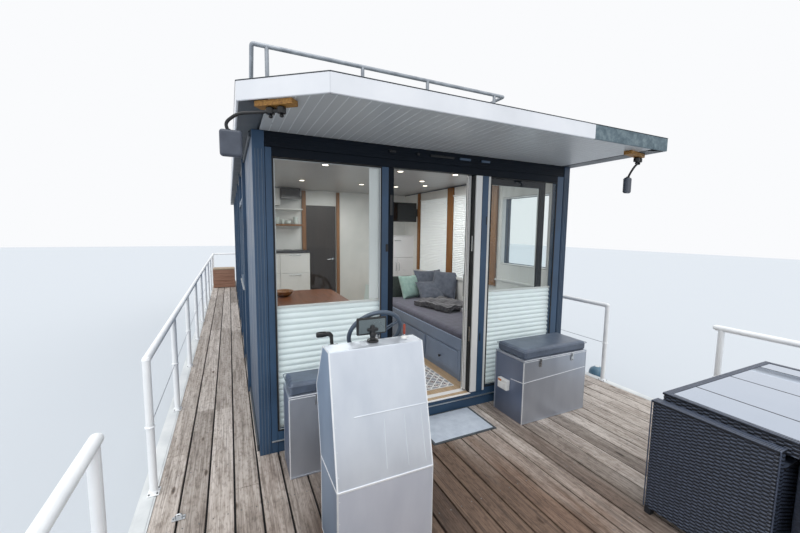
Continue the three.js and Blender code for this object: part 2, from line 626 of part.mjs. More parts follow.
// Outboard motor: clamp bracket on the transom, swivel bracket, motor and propeller
const transomFace = platform.stern + 40 + seat;
const tilt = { tube: 14, earOut: 95, earIn: 75 };
function makeClamp() {
  const x = motor.x;
  const plate = block(x - 130, x + 130, transomFace, transomFace + 18, -380, -2);
  const ears = [-1, 1].map((s) => {
    const [a, b] = [x + s * tilt.earIn, x + s * tilt.earOut].sort((p, q) => p - q);
    return block(a, b, transomFace + 10, 10085, -120, 80);
  });
  const [tubeFrom, tubeTo] = [x - tilt.earOut, x + tilt.earOut];
  const tube = rod([tubeFrom, motor.tiltY, motor.tiltZ], [tubeTo, motor.tiltY, motor.tiltZ], tilt.tube, 16);
  return join([plate, ...ears, tube]);
}
addPart('outboard_clamp', makeClamp(), 'cowlGrey');
const pin = { radius: 16, top: 82, bottom: -336 };
function makeSwivel() {
  const x = motor.x;
  const head = block(x - 68, x + 68, motor.tiltY - 25, motor.tiltY + 60, 20, 75);
  const post = block(x - 42, x + 42, motor.steerY - 45, motor.steerY + 25, pin.bottom + 6, 75);
  const tube = rod([x - 80, motor.tiltY, motor.tiltZ], [x + 80, motor.tiltY, motor.tiltZ], tilt.tube + 0.4, 16);
  const bore = rod([x, motor.steerY, pin.bottom], [x, motor.steerY, pin.top + 20], pin.radius + 0.4, 16);
  return cutAll(join([head, post]), [tube, bore]);
}
addPart('outboard_swivel', makeSwivel(), 'cowlGrey');
const shaft = { z: -750, radius: 9, gearcase: 42, gearcaseBack: 10385 };
function makeMotor() {
  const x = motor.x;
  const y = motor.steerY;
  const cowl = prism('z', [
    [x - 110, 9990], [x + 110, 9990], [x + 180, 10110], [x + 170, 10400],
    [x + 110, motor.cowlBack], [x - 110, motor.cowlBack], [x - 170, 10400], [x - 180, 10110],
  ], 150, 620);
  return join([
    cowl,
    block(x - 45, x + 45, y - 30, y + 160, pin.top, 151),
    rod([x, y, pin.bottom - 30], [x, y, pin.top + 5], pin.radius, 16),
    block(x - 40, x + 40, y - 30, y + 80, pin.bottom - 44, pin.bottom),
    block(x - 55, x + 55, y + 55, y + 200, -500, 151),
    block(x - 22, x + 22, y + 65, y + 190, -740, -499),
    block(x - 95, x + 95, y + 10, y + 330, -640, -630),
    rod([x, y + 40, shaft.z], [x, shaft.gearcaseBack, shaft.z], shaft.gearcase, 12),
    block(x - 6, x + 6, y + 90, y + 230, hullBottom + 14, shaft.z),
    rod([x, y + 100, shaft.z], [x, shaft.gearcaseBack + 55, shaft.z], shaft.radius, 12),
  ]);
}
addPart('outboard_motor', makeMotor(), 'cowlGrey');
function makePropeller() {
  const hubFrom = shaft.gearcaseBack + 6;
  const hub = rod([motor.x, hubFrom, shaft.z], [motor.x, hubFrom + 62, shaft.z], 34, 12);
  const bore = rod([motor.x, hubFrom - 1, shaft.z], [motor.x, hubFrom + 52, shaft.z], shaft.radius + 0.4, 12);
  const blades = [0, 1, 2].map((i) => {
    const blade = new THREE.BoxGeometry(78, 12, 76);
    blade.translate(0, 0, 66);
    blade.applyMatrix4(new THREE.Matrix4().makeRotationZ(0.55));
    blade.applyMatrix4(new THREE.Matrix4().makeRotationY((i * 2 * Math.PI) / 3));
    blade.translate(motor.x, hubFrom + 31, shaft.z);
    return solidOf(blade);
  });
  return join([hub, ...blades]).subtract(bore);
}
addPart('outboard_propeller', makePropeller(), 'sheetAluminium');

// Inside the cabin: daybed, mattress, kitchen, cabinet, table and chair
const floorZ = cabin.floorTop + seat;
const bed = {
  x0: 1905, x1: 2914, y0: 260, y1: 2400, top: 470, headboard: 40, headboardTop: 930, mattress: 150,
};
addPart('daybed', join([
  block(bed.x0, bed.x1, bed.y0, bed.y1, floorZ, bed.top),
  block(bed.x0, bed.x1, bed.y1 - 1, bed.y1 + bed.headboard, floorZ, bed.headboardTop),
]), 'furnitureGrey');
addPart('mattress', block(
  bed.x0 + 20, bed.x1 - 10, bed.y0 + 20, bed.y1 - 10, bed.top + seat, bed.top + bed.mattress
), 'mattressTaupe');
const unit = {
  y0: 3250, y1: partitionY - seat, port: cabin.width - cabin.wall - seat, starboard: cabin.wall + seat,
};
addPart('tall_cabinet', block(2250, unit.port, unit.y0, unit.y1, floorZ, 1550), 'interiorWhite');
addPart('kitchen_counter', block(unit.starboard, 1020, unit.y0, unit.y1, floorZ, 1300), 'interiorWhite');
addPart('inner_table', join([
  block(200, 1000, 700, 1900, 850, 885),
  block(560, 640, 1260, 1340, 140, 851),
  block(400, 800, 1100, 1500, floorZ, 141),
]), 'brownWood');
addPart('inner_chair', join([
  block(1050, 1460, 1250, 1670, 560, 600),
  block(1420, 1460, 1250, 1670, 599, 960),
  block(1060, 1450, 1260, 1300, floorZ, 561),
  block(1060, 1450, 1620, 1660, floorZ, 561),
]), 'pleatedFabric');

export default houseboat;
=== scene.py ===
import math
import random
import bmesh
import bpy
import numpy as np
from mathutils import Matrix, Vector


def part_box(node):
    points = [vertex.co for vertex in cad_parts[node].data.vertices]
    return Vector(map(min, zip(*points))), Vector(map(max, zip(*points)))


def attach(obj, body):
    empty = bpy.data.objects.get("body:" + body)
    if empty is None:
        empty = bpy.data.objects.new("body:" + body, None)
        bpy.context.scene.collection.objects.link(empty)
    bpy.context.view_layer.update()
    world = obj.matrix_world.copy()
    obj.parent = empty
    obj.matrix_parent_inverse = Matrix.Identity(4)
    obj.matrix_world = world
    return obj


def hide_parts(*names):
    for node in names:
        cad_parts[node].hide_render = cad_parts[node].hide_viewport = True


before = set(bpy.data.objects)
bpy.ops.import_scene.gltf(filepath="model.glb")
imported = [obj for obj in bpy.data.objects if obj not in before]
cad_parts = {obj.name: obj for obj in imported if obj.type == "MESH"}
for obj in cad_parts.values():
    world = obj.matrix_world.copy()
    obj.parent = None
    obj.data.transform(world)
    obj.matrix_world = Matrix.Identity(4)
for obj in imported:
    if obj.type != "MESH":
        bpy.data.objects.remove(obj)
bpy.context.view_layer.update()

# Every place below is in metres from the deck datum: the cabin's front starboard corner on the planks
datum = Vector((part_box("front_frame")[0].x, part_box("front_frame")[0].y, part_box("deck_fore")[1].z))
waterline = 0.29


def nodeBox(node):
    low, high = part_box(node)
    return low - datum, high - datum


def link(name, data):
    held = bpy.data.objects.new(name, data)
    bpy.context.scene.collection.objects.link(held)
    return held


# Camera where the photographer stood, at the rail of the foredeck
viewpoint = {"lens": 16.24, "sensor": 36.0, "yaw": 25.289, "pitch": 5.701, "roll": -0.662,
    "place": (-0.153, -2.658, 1.640)}


def makeCamera():
    yaw, pitch, roll = (math.radians(viewpoint[key]) for key in ("yaw", "pitch", "roll"))
    ahead = Vector((math.sin(yaw) * math.cos(pitch), math.cos(yaw) * math.cos(pitch), -math.sin(pitch)))
    level = Vector((math.cos(yaw), -math.sin(yaw), 0.0))
    upright = level.cross(ahead)
    right = level * math.cos(roll) - upright * math.sin(roll)
    top = upright * math.cos(roll) + level * math.sin(roll)
    camera = bpy.data.cameras.new("deckCamera")
    camera.lens, camera.sensor_width, camera.sensor_fit = viewpoint["lens"], viewpoint["sensor"], "HORIZONTAL"
    camera.clip_start, camera.clip_end = 0.05, 200
    holder = link("deckCamera", camera)
    turn = Matrix((right, top, -ahead)).transposed()
    holder.matrix_world = Matrix.Translation(datum + Vector(viewpoint["place"])) @ turn.to_4x4()
    bpy.context.scene.camera = holder


makeCamera()


def toLinear(hexColour):
    channels = [int(hexColour[i:i + 2], 16) / 255 for i in (1, 3, 5)]
    return tuple(c / 12.92 if c <= 0.04045 else ((c + 0.055) / 1.055) ** 2.4 for c in channels) + (1.0,)


# Adds a node, or fills one in: small letters are its settings, the rest inputs, a value or (node, output)
def addNode(tree, kind, entries):
    node = tree.nodes.new("ShaderNode" + kind) if isinstance(kind, str) else kind
    for key, value in entries.items():
        if key == "stops":
            elements = node.color_ramp.elements
            while len(elements) < len(value):
                elements.new(0.5)
            for element, (position, hexColour) in zip(elements, value):
                element.position = position
                element.color = toLinear(hexColour)
        elif isinstance(key, str) and key[0].islower():
            setattr(node, key, value)
        elif isinstance(value, tuple) and isinstance(value[0], bpy.types.Node):
            tree.links.new(value[0].outputs[value[1]], node.inputs[key])
        else:
            node.inputs[key].default_value = value
    return node


# A new material with its shader and the object's own coordinates
def startMaterial(name, roughness, metallic=0.0, **inputs):
    material = bpy.data.materials.new(name)
    material.use_nodes = True
    tree = material.node_tree
    shader = addNode(tree, tree.nodes["Principled BSDF"], {"Roughness": roughness, "Metallic": metallic,
        **{key.replace("_", " "): value for key, value in inputs.items()}})
    return material, tree, shader, (addNode(tree, "TexCoord", {}), "Object")


# A texture whose blots, cells or bands are sizeMm long along each axis
def addPattern(tree, place, kind, sizeMm, entries):
    sizes = sizeMm if isinstance(sizeMm, tuple) else (sizeMm,) * 3
    stretch = addNode(tree, "Mapping", {"Scale": [1000 / size for size in sizes], "Vector": place})
    pattern = addNode(tree, "Tex" + kind, {"Scale": 1.0, **entries, "Vector": (stretch, "Vector")})
    return pattern, "Distance" if kind == "Voronoi" else "Fac"


# A worked surface: blotted colour, gloss even or following the blots, and a relief of one pattern or two
def makeSurface(name, hexes, gloss, blots, reliefs, reliefMm, metallic=0.0, strength=1.0, **inputs):
    low, high = gloss if isinstance(gloss, tuple) else (gloss, gloss)
    material, tree, shader, place = startMaterial(name, (low + high) / 2, metallic, **inputs)
    tone = addPattern(tree, place, "Noise", *blots)
    stops = [(0.3 + 0.4 * i / (len(hexes) - 1), hexColour) for i, hexColour in enumerate(hexes)]
    colour = addNode(tree, "ValToRGB", {"stops": stops, "Fac": tone})
    heights = [addPattern(tree, place, *relief) for relief in reliefs]
    if len(heights) > 1:
        heights = [(addNode(tree, "Math", {"operation": "ADD", 0: heights[0], 1: heights[1]}), "Value")]
    bump = addNode(tree, "Bump", {"Strength": strength, "Distance": reliefMm / 1000, "Height": heights[0]})
    addNode(tree, shader, {"Base Color": (colour, "Color"), "Normal": (bump, "Normal")})
    if low < high:
        uneven = addNode(tree, "MapRange", {"From Min": 0.3, "From Max": 0.7, "To Min": low, "To Max": high,
            "Value": tone})
        addNode(tree, shader, {"Roughness": (uneven, "Result")})
    return material


def noise(detail, rough=0.55):
    return {"Detail": detail, "Roughness": rough}


# Paint, coating, plastic or casting: soft blots over a fine grain
def makeFinish(name, hexes, low, high, metallic, blotMm, grainMm, reliefMm, **inputs):
    return makeSurface(name, hexes.split(), (low, high), (blotMm, noise(4)), [("Noise", grainMm, noise(3))],
        reliefMm, metallic, **inputs)


# Sheet aluminium, rolled and lightly scuffed: a milky oxide with faint clouds over fine upright rolling lines
def makeSheet(name, hexes, metallic):
    return makeSurface(name, hexes.split(), (0.36, 0.44), ((150, 150, 420), noise(4, 0.5)),
        [("Noise", (1.4, 1.4, 160), noise(4))], 0.03, metallic)


# Wood sawn and oiled: long brown figure with darker late wood lines
def makeOiledWood(name, hexes, along="z", gloss=0.5):
    figure = {"x": (500, 9, 9), "y": (9, 500, 9), "z": (9, 9, 500)}[along], noise(5, 0.6)
    return makeSurface(name, hexes.split(), gloss, figure, [("Noise", *figure)], 0.4)


# Woven cloth: crossed threads as relief, drawn coarser than the real 0.5 mm so that they show
def makeWeave(name, hexes, threadMm=3.0, gloss=0.9, sheen=0.3, depthMm=0.5):
    threads = [("Wave", threadMm * 20, {"bands_direction": way, "Distortion": 1.2, "Detail": 1.0})
        for way in "XY"]
    return makeSurface(name, hexes.split(), gloss, (60, noise(4)), threads, depthMm, Sheen_Weight=sheen)


# Flat strand of extruded polyethylene: near-black blue with a dull gleam along the strand
def makePolyRattan(name, hexes, gloss):
    return makeSurface(name, hexes.split(), gloss, ((14, 14, 9), noise(3)),
        [("Noise", (30, 30, 1.6), noise(2))], 0.5)


# Gives a material a light of its own, and needs its shader only
def addGlow(material, hexColour, strength):
    tree = material.node_tree
    addNode(tree, tree.nodes["Principled BSDF"], {"Emission Color": toLinear(hexColour),
        "Emission Strength": strength})
    return material


# Larch planks, sawn and left bare: silvered outside the doorway's trodden, browner zone, with dark grain,
# knots and water marks, each board its own shade
larch = {
    "silver": [(0.0, "#aea69f"), (0.35, "#cfc7c0"), (0.65, "#e2dbd5"), (1.0, "#bbb2aa")],
    "brown": [(0.0, "#5c4b41"), (0.4, "#735f51"), (0.75, "#836c5d"), (1.0, "#6a574c")],
    # The trodden zone: its centre, and where it starts and stops fading
    "centre": (1.00, -1.12, 0.0), "near": 0.55, "far": 1.60,
    # Darkening patterns: kind, size in mm, settings, how much of it shows, ramp
    "grain": ("Noise", (5.5, 420, 9), noise(6, 0.62), 0.54,
        [(0.33, "#5b514b"), (0.42, "#a39b94"), (0.50, "#dfdbd7"), (0.60, "#ffffff")]),
    "marks": ("Noise", (34, 300, 34), noise(5, 0.6), 0.6,
        [(0.33, "#8b817a"), (0.45, "#d6d1cc"), (0.56, "#ffffff")]),
    "specks": ("Noise", (16, 42, 16), noise(4, 0.6), 0.40,
        [(0.36, "#7d736c"), (0.44, "#dcd7d2"), (0.52, "#ffffff")]),
    "knots": ("Voronoi", (142.857, 454.545, 142.857), {"Randomness": 1.0}, 0.8,
        [(0.03, "#2b2320"), (0.06, "#84705f"), (0.10, "#ffffff")]),
}


def makeWeatheredLarch():
    material, tree, shader, place = startMaterial("weatheredLarch", 0.8)
    island = addNode(tree, "NewGeometry", {}), "Random Per Island"
    silver, brown = (addNode(tree, "ValToRGB", {"stops": larch[key], "Fac": island})
        for key in ("silver", "brown"))
    # How far a spot lies from the zone's centre, its border broken by noise
    centre = datum + Vector(larch["centre"])
    shifted = addNode(tree, "Mapping", {"Location": [-value for value in centre], "Vector": place})
    away = addNode(tree, "VectorMath", {"operation": "LENGTH", 0: (shifted, "Vector")})
    border = addPattern(tree, place, "Noise", (160, 900, 160), noise(3))
    spread = addNode(tree, "Math", {"operation": "MULTIPLY_ADD", 0: border, 1: 1.4, 2: -0.7})
    reach = addNode(tree, "Math", {"operation": "ADD", 0: (away, "Value"), 1: (spread, "Value")})
    worn = addNode(tree, "MapRange", {"From Min": larch["near"], "From Max": larch["far"], "To Min": 0.0,
        "To Max": 1.0, "Value": (reach, "Value")})
    colour = addNode(tree, "Mix", {"data_type": "RGBA", "Factor": (worn, "Result"), "A": (brown, "Color"),
        "B": (silver, "Color")})
    patterns = {}
    for key in ("grain", "marks", "specks", "knots"):
        *pattern, share, stops = larch[key]
        patterns[key] = addPattern(tree, place, *pattern)
        shade = addNode(tree, "ValToRGB", {"stops": stops, "Fac": patterns[key]})
        colour = addNode(tree, "Mix", {"data_type": "RGBA", "blend_type": "MULTIPLY", "Factor": share,
            "A": (colour, "Result"), "B": (shade, "Color")})
    gloss = addNode(tree, "MapRange", {"From Min": 0.3, "From Max": 0.7, "To Min": 0.6, "To Max": 0.92,
        "Value": patterns["marks"]})
    bump = addNode(tree, "Bump", {"Strength": 1.0, "Distance": 0.0022, "Height": patterns["grain"]})
    addNode(tree, shader, {"Base Color": (colour, "Result"), "Roughness": (gloss, "Result"),
        "Normal": (bump, "Normal")})
    return material


# Float glass: clear, with the sky's reflection growing towards grazing angles
glass = {"tint": "#fafcfc", "ior": 1.52, "shine": 0.65}


def makeFloatGlass():
    material, tree, shader, _ = startMaterial("floatGlass", 0.02)
    clear = addNode(tree, "BsdfTransparent", {"Color": toLinear(glass["tint"])})
    gloss = addNode(tree, "BsdfGlossy", {"Color": (1, 1, 1, 1), "Roughness": 0.01})
    edge = addNode(tree, "Fresnel", {"IOR": glass["ior"]})
    facing = addNode(tree, "NewGeometry", {})
    front = addNode(tree, "Math", {"operation": "MULTIPLY_ADD", 0: (facing, "Backfacing"), 1: -1.0, 2: 1.0})
    share = addNode(tree, "Math", {"operation": "MULTIPLY", 0: (edge, "Fac"), 1: (front, "Value")})
    shown = addNode(tree, "Math", {"operation": "MULTIPLY", "use_clamp": True, 0: (share, "Value"),
        1: glass["shine"]})
    both = addNode(tree, "MixShader", {0: (shown, "Value"), 1: (clear, "BSDF"), 2: (gloss, "BSDF")})
    addNode(tree, tree.nodes["Material Output"], {"Surface": (both, "Shader")})
    tree.nodes.remove(shader)
    return material


# Hand-tufted rug with a plain lattice and a border, all of it geometric
rug = {"x": (0.900, 1.800), "y": (0.200, 1.480), "thickness": 0.009, "floorTop": 0.1253,
    "cellMm": 90.909, "bandPitch": 0.022, "line": 0.007, "border": 0.09}


def makeTuftedRug():
    material, tree, shader, place = startMaterial("tuftedWool", 0.95, Sheen_Weight=0.4)
    split = addNode(tree, "SeparateXYZ", {"Vector": place})
    marks = []
    for axis, origin in (("X", datum.x), ("Y", datum.y)):
        low, high = rug[axis.lower()]
        off = addNode(tree, "Math", {"operation": "SUBTRACT", 0: (split, axis), 1: (low + high) / 2 + origin})
        away = addNode(tree, "Math", {"operation": "ABSOLUTE", 0: (off, "Value")})
        inner = addNode(tree, "Math", {"operation": "SUBTRACT", 0: (high - low) / 2, 1: (away, "Value")})
        marks.append((inner, "Value"))
    edge = addNode(tree, "Math", {"operation": "MINIMUM", 0: marks[0], 1: marks[1]}), "Value"
    bands = addNode(tree, "Math", {"operation": "PINGPONG", 0: edge, 1: rug["bandPitch"]})
    onLine = addNode(tree, "Math", {"operation": "LESS_THAN", 0: (bands, "Value"), 1: rug["line"]})
    inBorder = addNode(tree, "Math", {"operation": "LESS_THAN", 0: edge, 1: rug["border"]})
    line = addNode(tree, "Math", {"operation": "MULTIPLY", 0: (onLine, "Value"), 1: (inBorder, "Value")})
    field = addPattern(tree, place, "Voronoi", rug["cellMm"], {"distance": "MANHATTAN", "Randomness": 0.0})
    flower = addNode(tree, "ValToRGB", {"Fac": field, "stops": [(0.0, "#1c1d24"), (0.13, "#7c3434"),
        (0.2, "#e6e6e6"), (0.27, "#1f2028"), (0.42, "#e3e3e4"), (0.62, "#8f949d")]})
    flower.color_ramp.interpolation = "CONSTANT"
    lined = addNode(tree, "Mix", {"data_type": "RGBA", "Factor": (line, "Value"), "A": (flower, "Color"),
        "B": toLinear("#e2e0dc")})
    tufts = addPattern(tree, place, "Noise", 4, noise(2))
    bump = addNode(tree, "Bump", {"Strength": 1.0, "Distance": 0.0015, "Height": tufts})
    addNode(tree, shader, {"Base Color": (lined, "Result"), "Normal": (bump, "Normal")})
    return material


# Name, colours, gloss from and to, metallic, then blots, grain and relief in mm
materials = {key: makeFinish(*row) for key, row in {
    # Turned stainless: small bright dots and bars
    "screw": ("stainlessScrewHeads", "#5b5c5c #8d9092", 0.35, 0.55, 1.0, 20, 2, 0.05),
    "spoke": ("polishedStainless", "#b8bcbf #d5d8da", 0.12, 0.2, 1.0, 80, 2, 0.02),
    # Paint on steel: matt white with brush marks, and a greyer roller coat on the hull
    "edgePaint": ("brushedWhiteEnamelOnSteel", "#c3c8ca #d6dadb #e2e5e5", 0.45, 0.7, 0.0, 240, 9, 0.3),
    "hullPaint": ("rolledHullPaint", "#a9adab #c4c7c4 #cfd2cf", 0.4, 0.65, 0.0, 400, 12, 0.5),
    # Powder coat over aluminium boards: even slate blue with a faint orange-peel
    "slate": ("powderCoatSlate", "#2d4660 #314c68 #365371", 0.36, 0.48, 0.0, 260, 2.5, 0.08),
    # Darker and lighter copies of the same coat: painted shade and painted highlight
    "slatePaintedShade": ("powderCoatSlatePaintedShade", "#22354b #27405a", 0.4, 0.5, 0.0, 260, 2.5, 0.08),
    "slatePaintedHighlight": ("powderCoatSlatePaintedHighlight", "#46586d #526478", 0.4, 0.55, 0.0, 260, 2.5, 0.08),
    "darkPaint": ("satinDarkGreyPaint", "#3a4046 #4a5158", 0.4, 0.6, 0.0, 150, 3, 0.15),
    # Coil-coated aluminium fascia: silvery white, almost smooth
    "fascia": ("coilCoatedAluminium", "#dde0e5 #e5e8ed #edeff3", 0.28, 0.40, 0.15, 500, 4, 0.02),
    # Zinc sheet left outside: mottled grey-green patina
    "zinc": ("weatheredZinc", "#4c5e67 #60727b #7d8d92", 0.42, 0.55, 0.5, 38, 3, 0.08),
    # Extruded vinyl soffit beads, lighter than the soffit's fields: a painted highlight
    "soffitBeadPaintedHighlight": ("extrudedVinylBeadPaintedHighlight", "#ccd1d4 #d5d9dc", 0.25, 0.3, 0.0, 900, 60, 0.01),
    # Roof felt: dull grey and gritty
    "membrane": ("rolledRoofFelt", "#6c7072 #85898a #93979a", 0.8, 0.95, 0.0, 300, 2.5, 0.6),
    # Folded, anodised and dipped metal: edges brightened as a painted highlight, an even satin, and a
    # spangled grey tube
    "aluminiumPaintedHighlight": ("pressBrakedPaintedHighlight", "#e9edf2 #f6f8fa", 0.3, 0.4, 0.35, 60, 2, 0.02),
    "anodised": ("anodisedAluminium", "#b4b9bc #c9cdcf", 0.3, 0.4, 0.9, 200, 2, 0.03),
    "galvanised": ("hotDipGalvanised", "#8e949c #a3a9b0 #b4bac1", 0.35, 0.5, 0.7, 60, 2, 0.03),
    # Rubber and felt: near black, soaking up light
    "gasket": ("extrudedRubberGasket", "#121315 #1d1f22", 0.55, 0.75, 0.0, 60, 3, 0.1),
    "matBorder": ("rubberMatBorder", "#3b4147 #4c5359", 0.6, 0.8, 0.0, 60, 3, 0.3),
    # Sprayed lacquer on board: flat white with a soft shine, and a greyer copy on the ceiling as painted
    # shade
    "whiteLacquer": ("sprayedWhiteLacquer", "#e2e3e1 #eeeeec", 0.25, 0.4, 0.0, 600, 5, 0.05),
    "cabinetLacquer": ("sprayedCabinetLacquer", "#f4f6f9 #fbfcfe", 0.25, 0.4, 0.0, 600, 5, 0.05),
    "ceilingBoardsPaintedShade": ("lacqueredCeilingBoardsPaintedShade", "#a6a8ab #b1b3b5", 0.3, 0.4, 0.0, 600, 5, 0.05),
    "innerBoards": ("paintedSpruceBoards", "#dcdedb #ebebe8", 0.4, 0.6, 0.0, 300, 6, 0.15),
    "bedPaint": ("brushedFurniturePaint", "#7e8ea6 #8a9ab2", 0.4, 0.55, 0.0, 200, 5, 0.05),
    "railPaint": ("powderCoatedTube", "#eceff2 #f8fafb", 0.28, 0.42, 0.05, 180, 3, 0.04),
    # Moulded plastics: satin, from black fittings to pale switches
    "blackPlastic": ("mouldedAbs", "#131416 #1f2124", 0.3, 0.45, 0.0, 120, 1.5, 0.06),
    "glossBlack": ("polishedAbs", "#0c0d0f #141618", 0.08, 0.14, 0.0, 300, 6, 0.01),
    "mirrorShell": ("mouldedMirrorShell", "#3f4551 #505764", 0.28, 0.4, 0.0, 90, 2, 0.04),
    "wheelGrip": ("mouldedPolyurethane", "#465362 #546272", 0.4, 0.52, 0.0, 60, 1.6, 0.1),
    "shell": ("injectionPolypropylene", "#cfdad5 #dfe8e4", 0.3, 0.4, 0.0, 300, 4, 0.05),
    "fenderBlue": ("rotomouldedVinylBlue", "#4f7085 #65879b", 0.3, 0.45, 0.0, 90, 3, 0.1),
    "fenderWhite": ("rotomouldedVinylWhite", "#cfd3d2 #e3e5e3", 0.35, 0.5, 0.0, 90, 3, 0.1),
    "switchWhite": ("whiteSwitchPlastic", "#d9dbd9 #e8e9e7", 0.35, 0.5, 0.0, 60, 2, 0.05),
    "orange": ("orangePlastic", "#c06a35 #d17f48", 0.35, 0.5, 0.0, 60, 2, 0.05),
    "redFloat": ("paintedCorkFloat", "#7e2f25 #a04a34", 0.5, 0.7, 0.0, 20, 2, 0.3),
    # Coated glass and laminate: dark mirrors, and the table's pale enamel that mirrors the sky
    "screen": ("coatedScreen", "#0b0d10 #11151a", 0.06, 0.1, 0.0, 300, 6, 0.01),
    "tableGlass": ("enamelledTemperedGlass", "#b9c3d2 #c2cbd9", 0.02, 0.03, 0.85, 900, 60, 0.0),
    "worktop": ("darkLaminate", "#26272a #34363a", 0.2, 0.3, 0.0, 30, 3, 0.03),
    # Castings and tube under paint, and the bare cast propeller
    "displayBack": ("greyPaintedCasting", "#5c6669 #6b7679", 0.2, 0.3, 0.3, 120, 3, 0.02),
    "tableFrame": ("powderCoatedBlackTube", "#1c1f24 #2b3037", 0.35, 0.5, 0.2, 60, 2, 0.08),
    "cowl": ("glossCowlEnamel", "#22262b #2d3238", 0.12, 0.2, 0.2, 300, 8, 0.02),
    "castGrey": ("castAndPainted", "#2b2f34 #3a3f45", 0.35, 0.5, 0.2, 60, 2, 0.05),
    "propeller": ("castAluminium", "#9a9ea1 #b7bbbd", 0.3, 0.45, 1.0, 50, 2, 0.1),
}.items()}
materials |= {
    "larch": makeWeatheredLarch(),
    "glass": makeFloatGlass(),
    "rug": makeTuftedRug(),
    # Darker copies of the same coatings, painted shade with less light mirrored: in the frame's recesses and
    # on the soffit's fields
    "slateDeepPaintedShade": makeFinish("powderCoatSlateDeepPaintedShade", "#0a121c #0d1722", 0.45, 0.55, 0.0, 260, 2.5, 0.08,
        Specular_IOR_Level=0.16),
    "soffit": makeFinish("extrudedVinylBoardPaintedShade", "#adb1b4 #b5b9bc", 0.32, 0.36, 0.0, 900, 60, 0.01,
        Specular_IOR_Level=0.35),
    "aluminium": makeSheet("rolledAluminium", "#b4bcc9 #c3cad5", 0.8),
    "consoleSheet": makeSheet("brightRolledAluminium", "#ced5df #dee4ec", 0.62),
    # A lighter copy of the sheet for the creases and rivets: painted highlight
    "consoleCreasePaintedHighlight": makeSheet("creasedAluminiumPaintedHighlight", "#dde3ea #e9eef3", 0.5),
    # Darker, bluer copies of the sheet for the side panels, painted shade, and a slightly duller one for the
    # foot panel
    "consoleSidePaintedShade": makeSheet("rolledAluminiumPaintedShade", "#8499b3 #95a9c1", 0.62),
    "consoleFoot": makeSheet("milledAluminiumFoot", "#cbd1de #d8dde8", 0.4),
    "lockerSidePaintedShade": makeSheet("lockerSheetPaintedShade", "#7f8aa1 #8c97ae", 0.8),
    # Pine, acacia, oak and stained veneer: warm figured brown, greyer where the crate has weathered
    "brownPost": makeOiledWood("oiledPinePost", "#6a4220 #8a5c30 #a0723f"),
    "mirrorBlock": makeOiledWood("oiledPineBlock", "#6a481f #93682d #ae8440", "x", 0.6),
    "crateBoard": makeOiledWood("weatheredCrateBoard", "#7d5a48 #9c7460 #b28d79", "x", 0.8),
    "crateFrame": makeOiledWood("planedCrateFrame", "#8d7a66 #a8957f #bba992", "x", 0.75),
    "darkDoor": makeOiledWood("darkStainedVeneer", "#1c1715 #2b2320 #3a302b", "z", 0.4),
    "tableWood": makeOiledWood("oiledAcacia", "#4b2a1a #6f4126 #8d5a38", "y", 0.4),
    "floorWood": makeOiledWood("oakLaminate", "#a58b6b #bda383 #cab295", "y", 0.4),
    "rattan": makePolyRattan("extrudedPolyRattan", "#323947 #4c566a", 0.36),
    "rattanTop": makePolyRattan("wrappedPolyRattan", "#383f4d #4a5467", 0.32),
    # A darker copy of the strand for where it dives under its neighbour: painted shade
    "rattanPaintedShade": makePolyRattan("paintedShadePolyRattan", "#12151c #1b1f28", 0.6),
    # Vinyl leatherette, calendered: a pebbled grain of about 2 mm over soft blots
    "vinyl": makeSurface("calenderedVinyl", ["#4d5869", "#5f6c7f"], 0.42, (90, noise(3)),
        [("Voronoi", 3, {})], 0.35, strength=0.7, Coat_Weight=0.3, Coat_Roughness=0.35),
    # Pleated polyester with a faint glow of its own: painted light for the daylight that the thin cloth
    # carries through
    "blind": addGlow(makeWeave("pleatedPolyesterPaintedGlow", "#f6fbfb #fbffff", 2.0, 0.85, 0.1, 0.1), "#e6f4f9", 0.09),
    "headboard": makeWeave("greenGreyUpholstery", "#39423f #4b5552", 4.0),
    "mattress": makeWeave("wovenMattressCover", "#565665 #686879"),
    "greyCushion": makeWeave("feltedGreyCotton", "#4f5562 #666d7a", 3.5),
    "mintCushion": makeWeave("mintCotton", "#8fb0a8 #a9c6be", 3.5),
    "throw": makeWeave("knittedThrow", "#3d3c42 #55545b", 9.0, 0.95, 0.5, 1.6),
    "paleSheet": makeWeave("paleLinen", "#b4b3ba #cccbd1", 2.5),
    "mat": makeWeave("needledMat", "#b0bbc9 #c2ccd8", 3.0, 0.95, 0.3, 0.5),
    "lampGlow": addGlow(startMaterial("ledLens", 0.5, Base_Color=toLinear("#808080"))[0], "#fff3df", 3.5),
}
print("materials:", len(materials))


# Shapes are pairs of points and faces, in metres from the datum
def blockShape(x0, x1, y0, y1, z0, z1):
    points = [(x, y, z) for x in (x0, x1) for y in (y0, y1) for z in (z0, z1)]
    return points, [(0, 1, 3, 2), (4, 6, 7, 5), (0, 4, 5, 1), (2, 3, 7, 6), (0, 2, 6, 4), (1, 5, 7, 3)]


# Outline pushed along one axis: "x" takes (y, z), "y" takes (x, z), "z" takes (x, y)
def prismShape(axis, outline, start, end):
    spot = {"x": lambda u, v, w: (w, u, v), "y": lambda u, v, w: (u, w, v),
        "z": lambda u, v, w: (u, v, w)}[axis]
    count = len(outline)
    points = [spot(u, v, start) for u, v in outline] + [spot(u, v, end) for u, v in outline]
    faces = [tuple(reversed(range(count))), tuple(range(count, 2 * count))]
    faces += [(i, (i + 1) % count, count + (i + 1) % count, count + i) for i in range(count)]
    return points, faces


# Skin over rings of points, closed at both ends
def loftShape(rings):
    count = len(rings[0])
    points = [tuple(point) for ring in rings for point in ring]
    faces = [(i * count + k, i * count + (k + 1) % count, (i + 1) * count + (k + 1) % count,
        (i + 1) * count + k) for i in range(len(rings) - 1) for k in range(count)]
    return points, faces + [tuple(reversed(range(count))), tuple(range(len(points) - count, len(points)))]


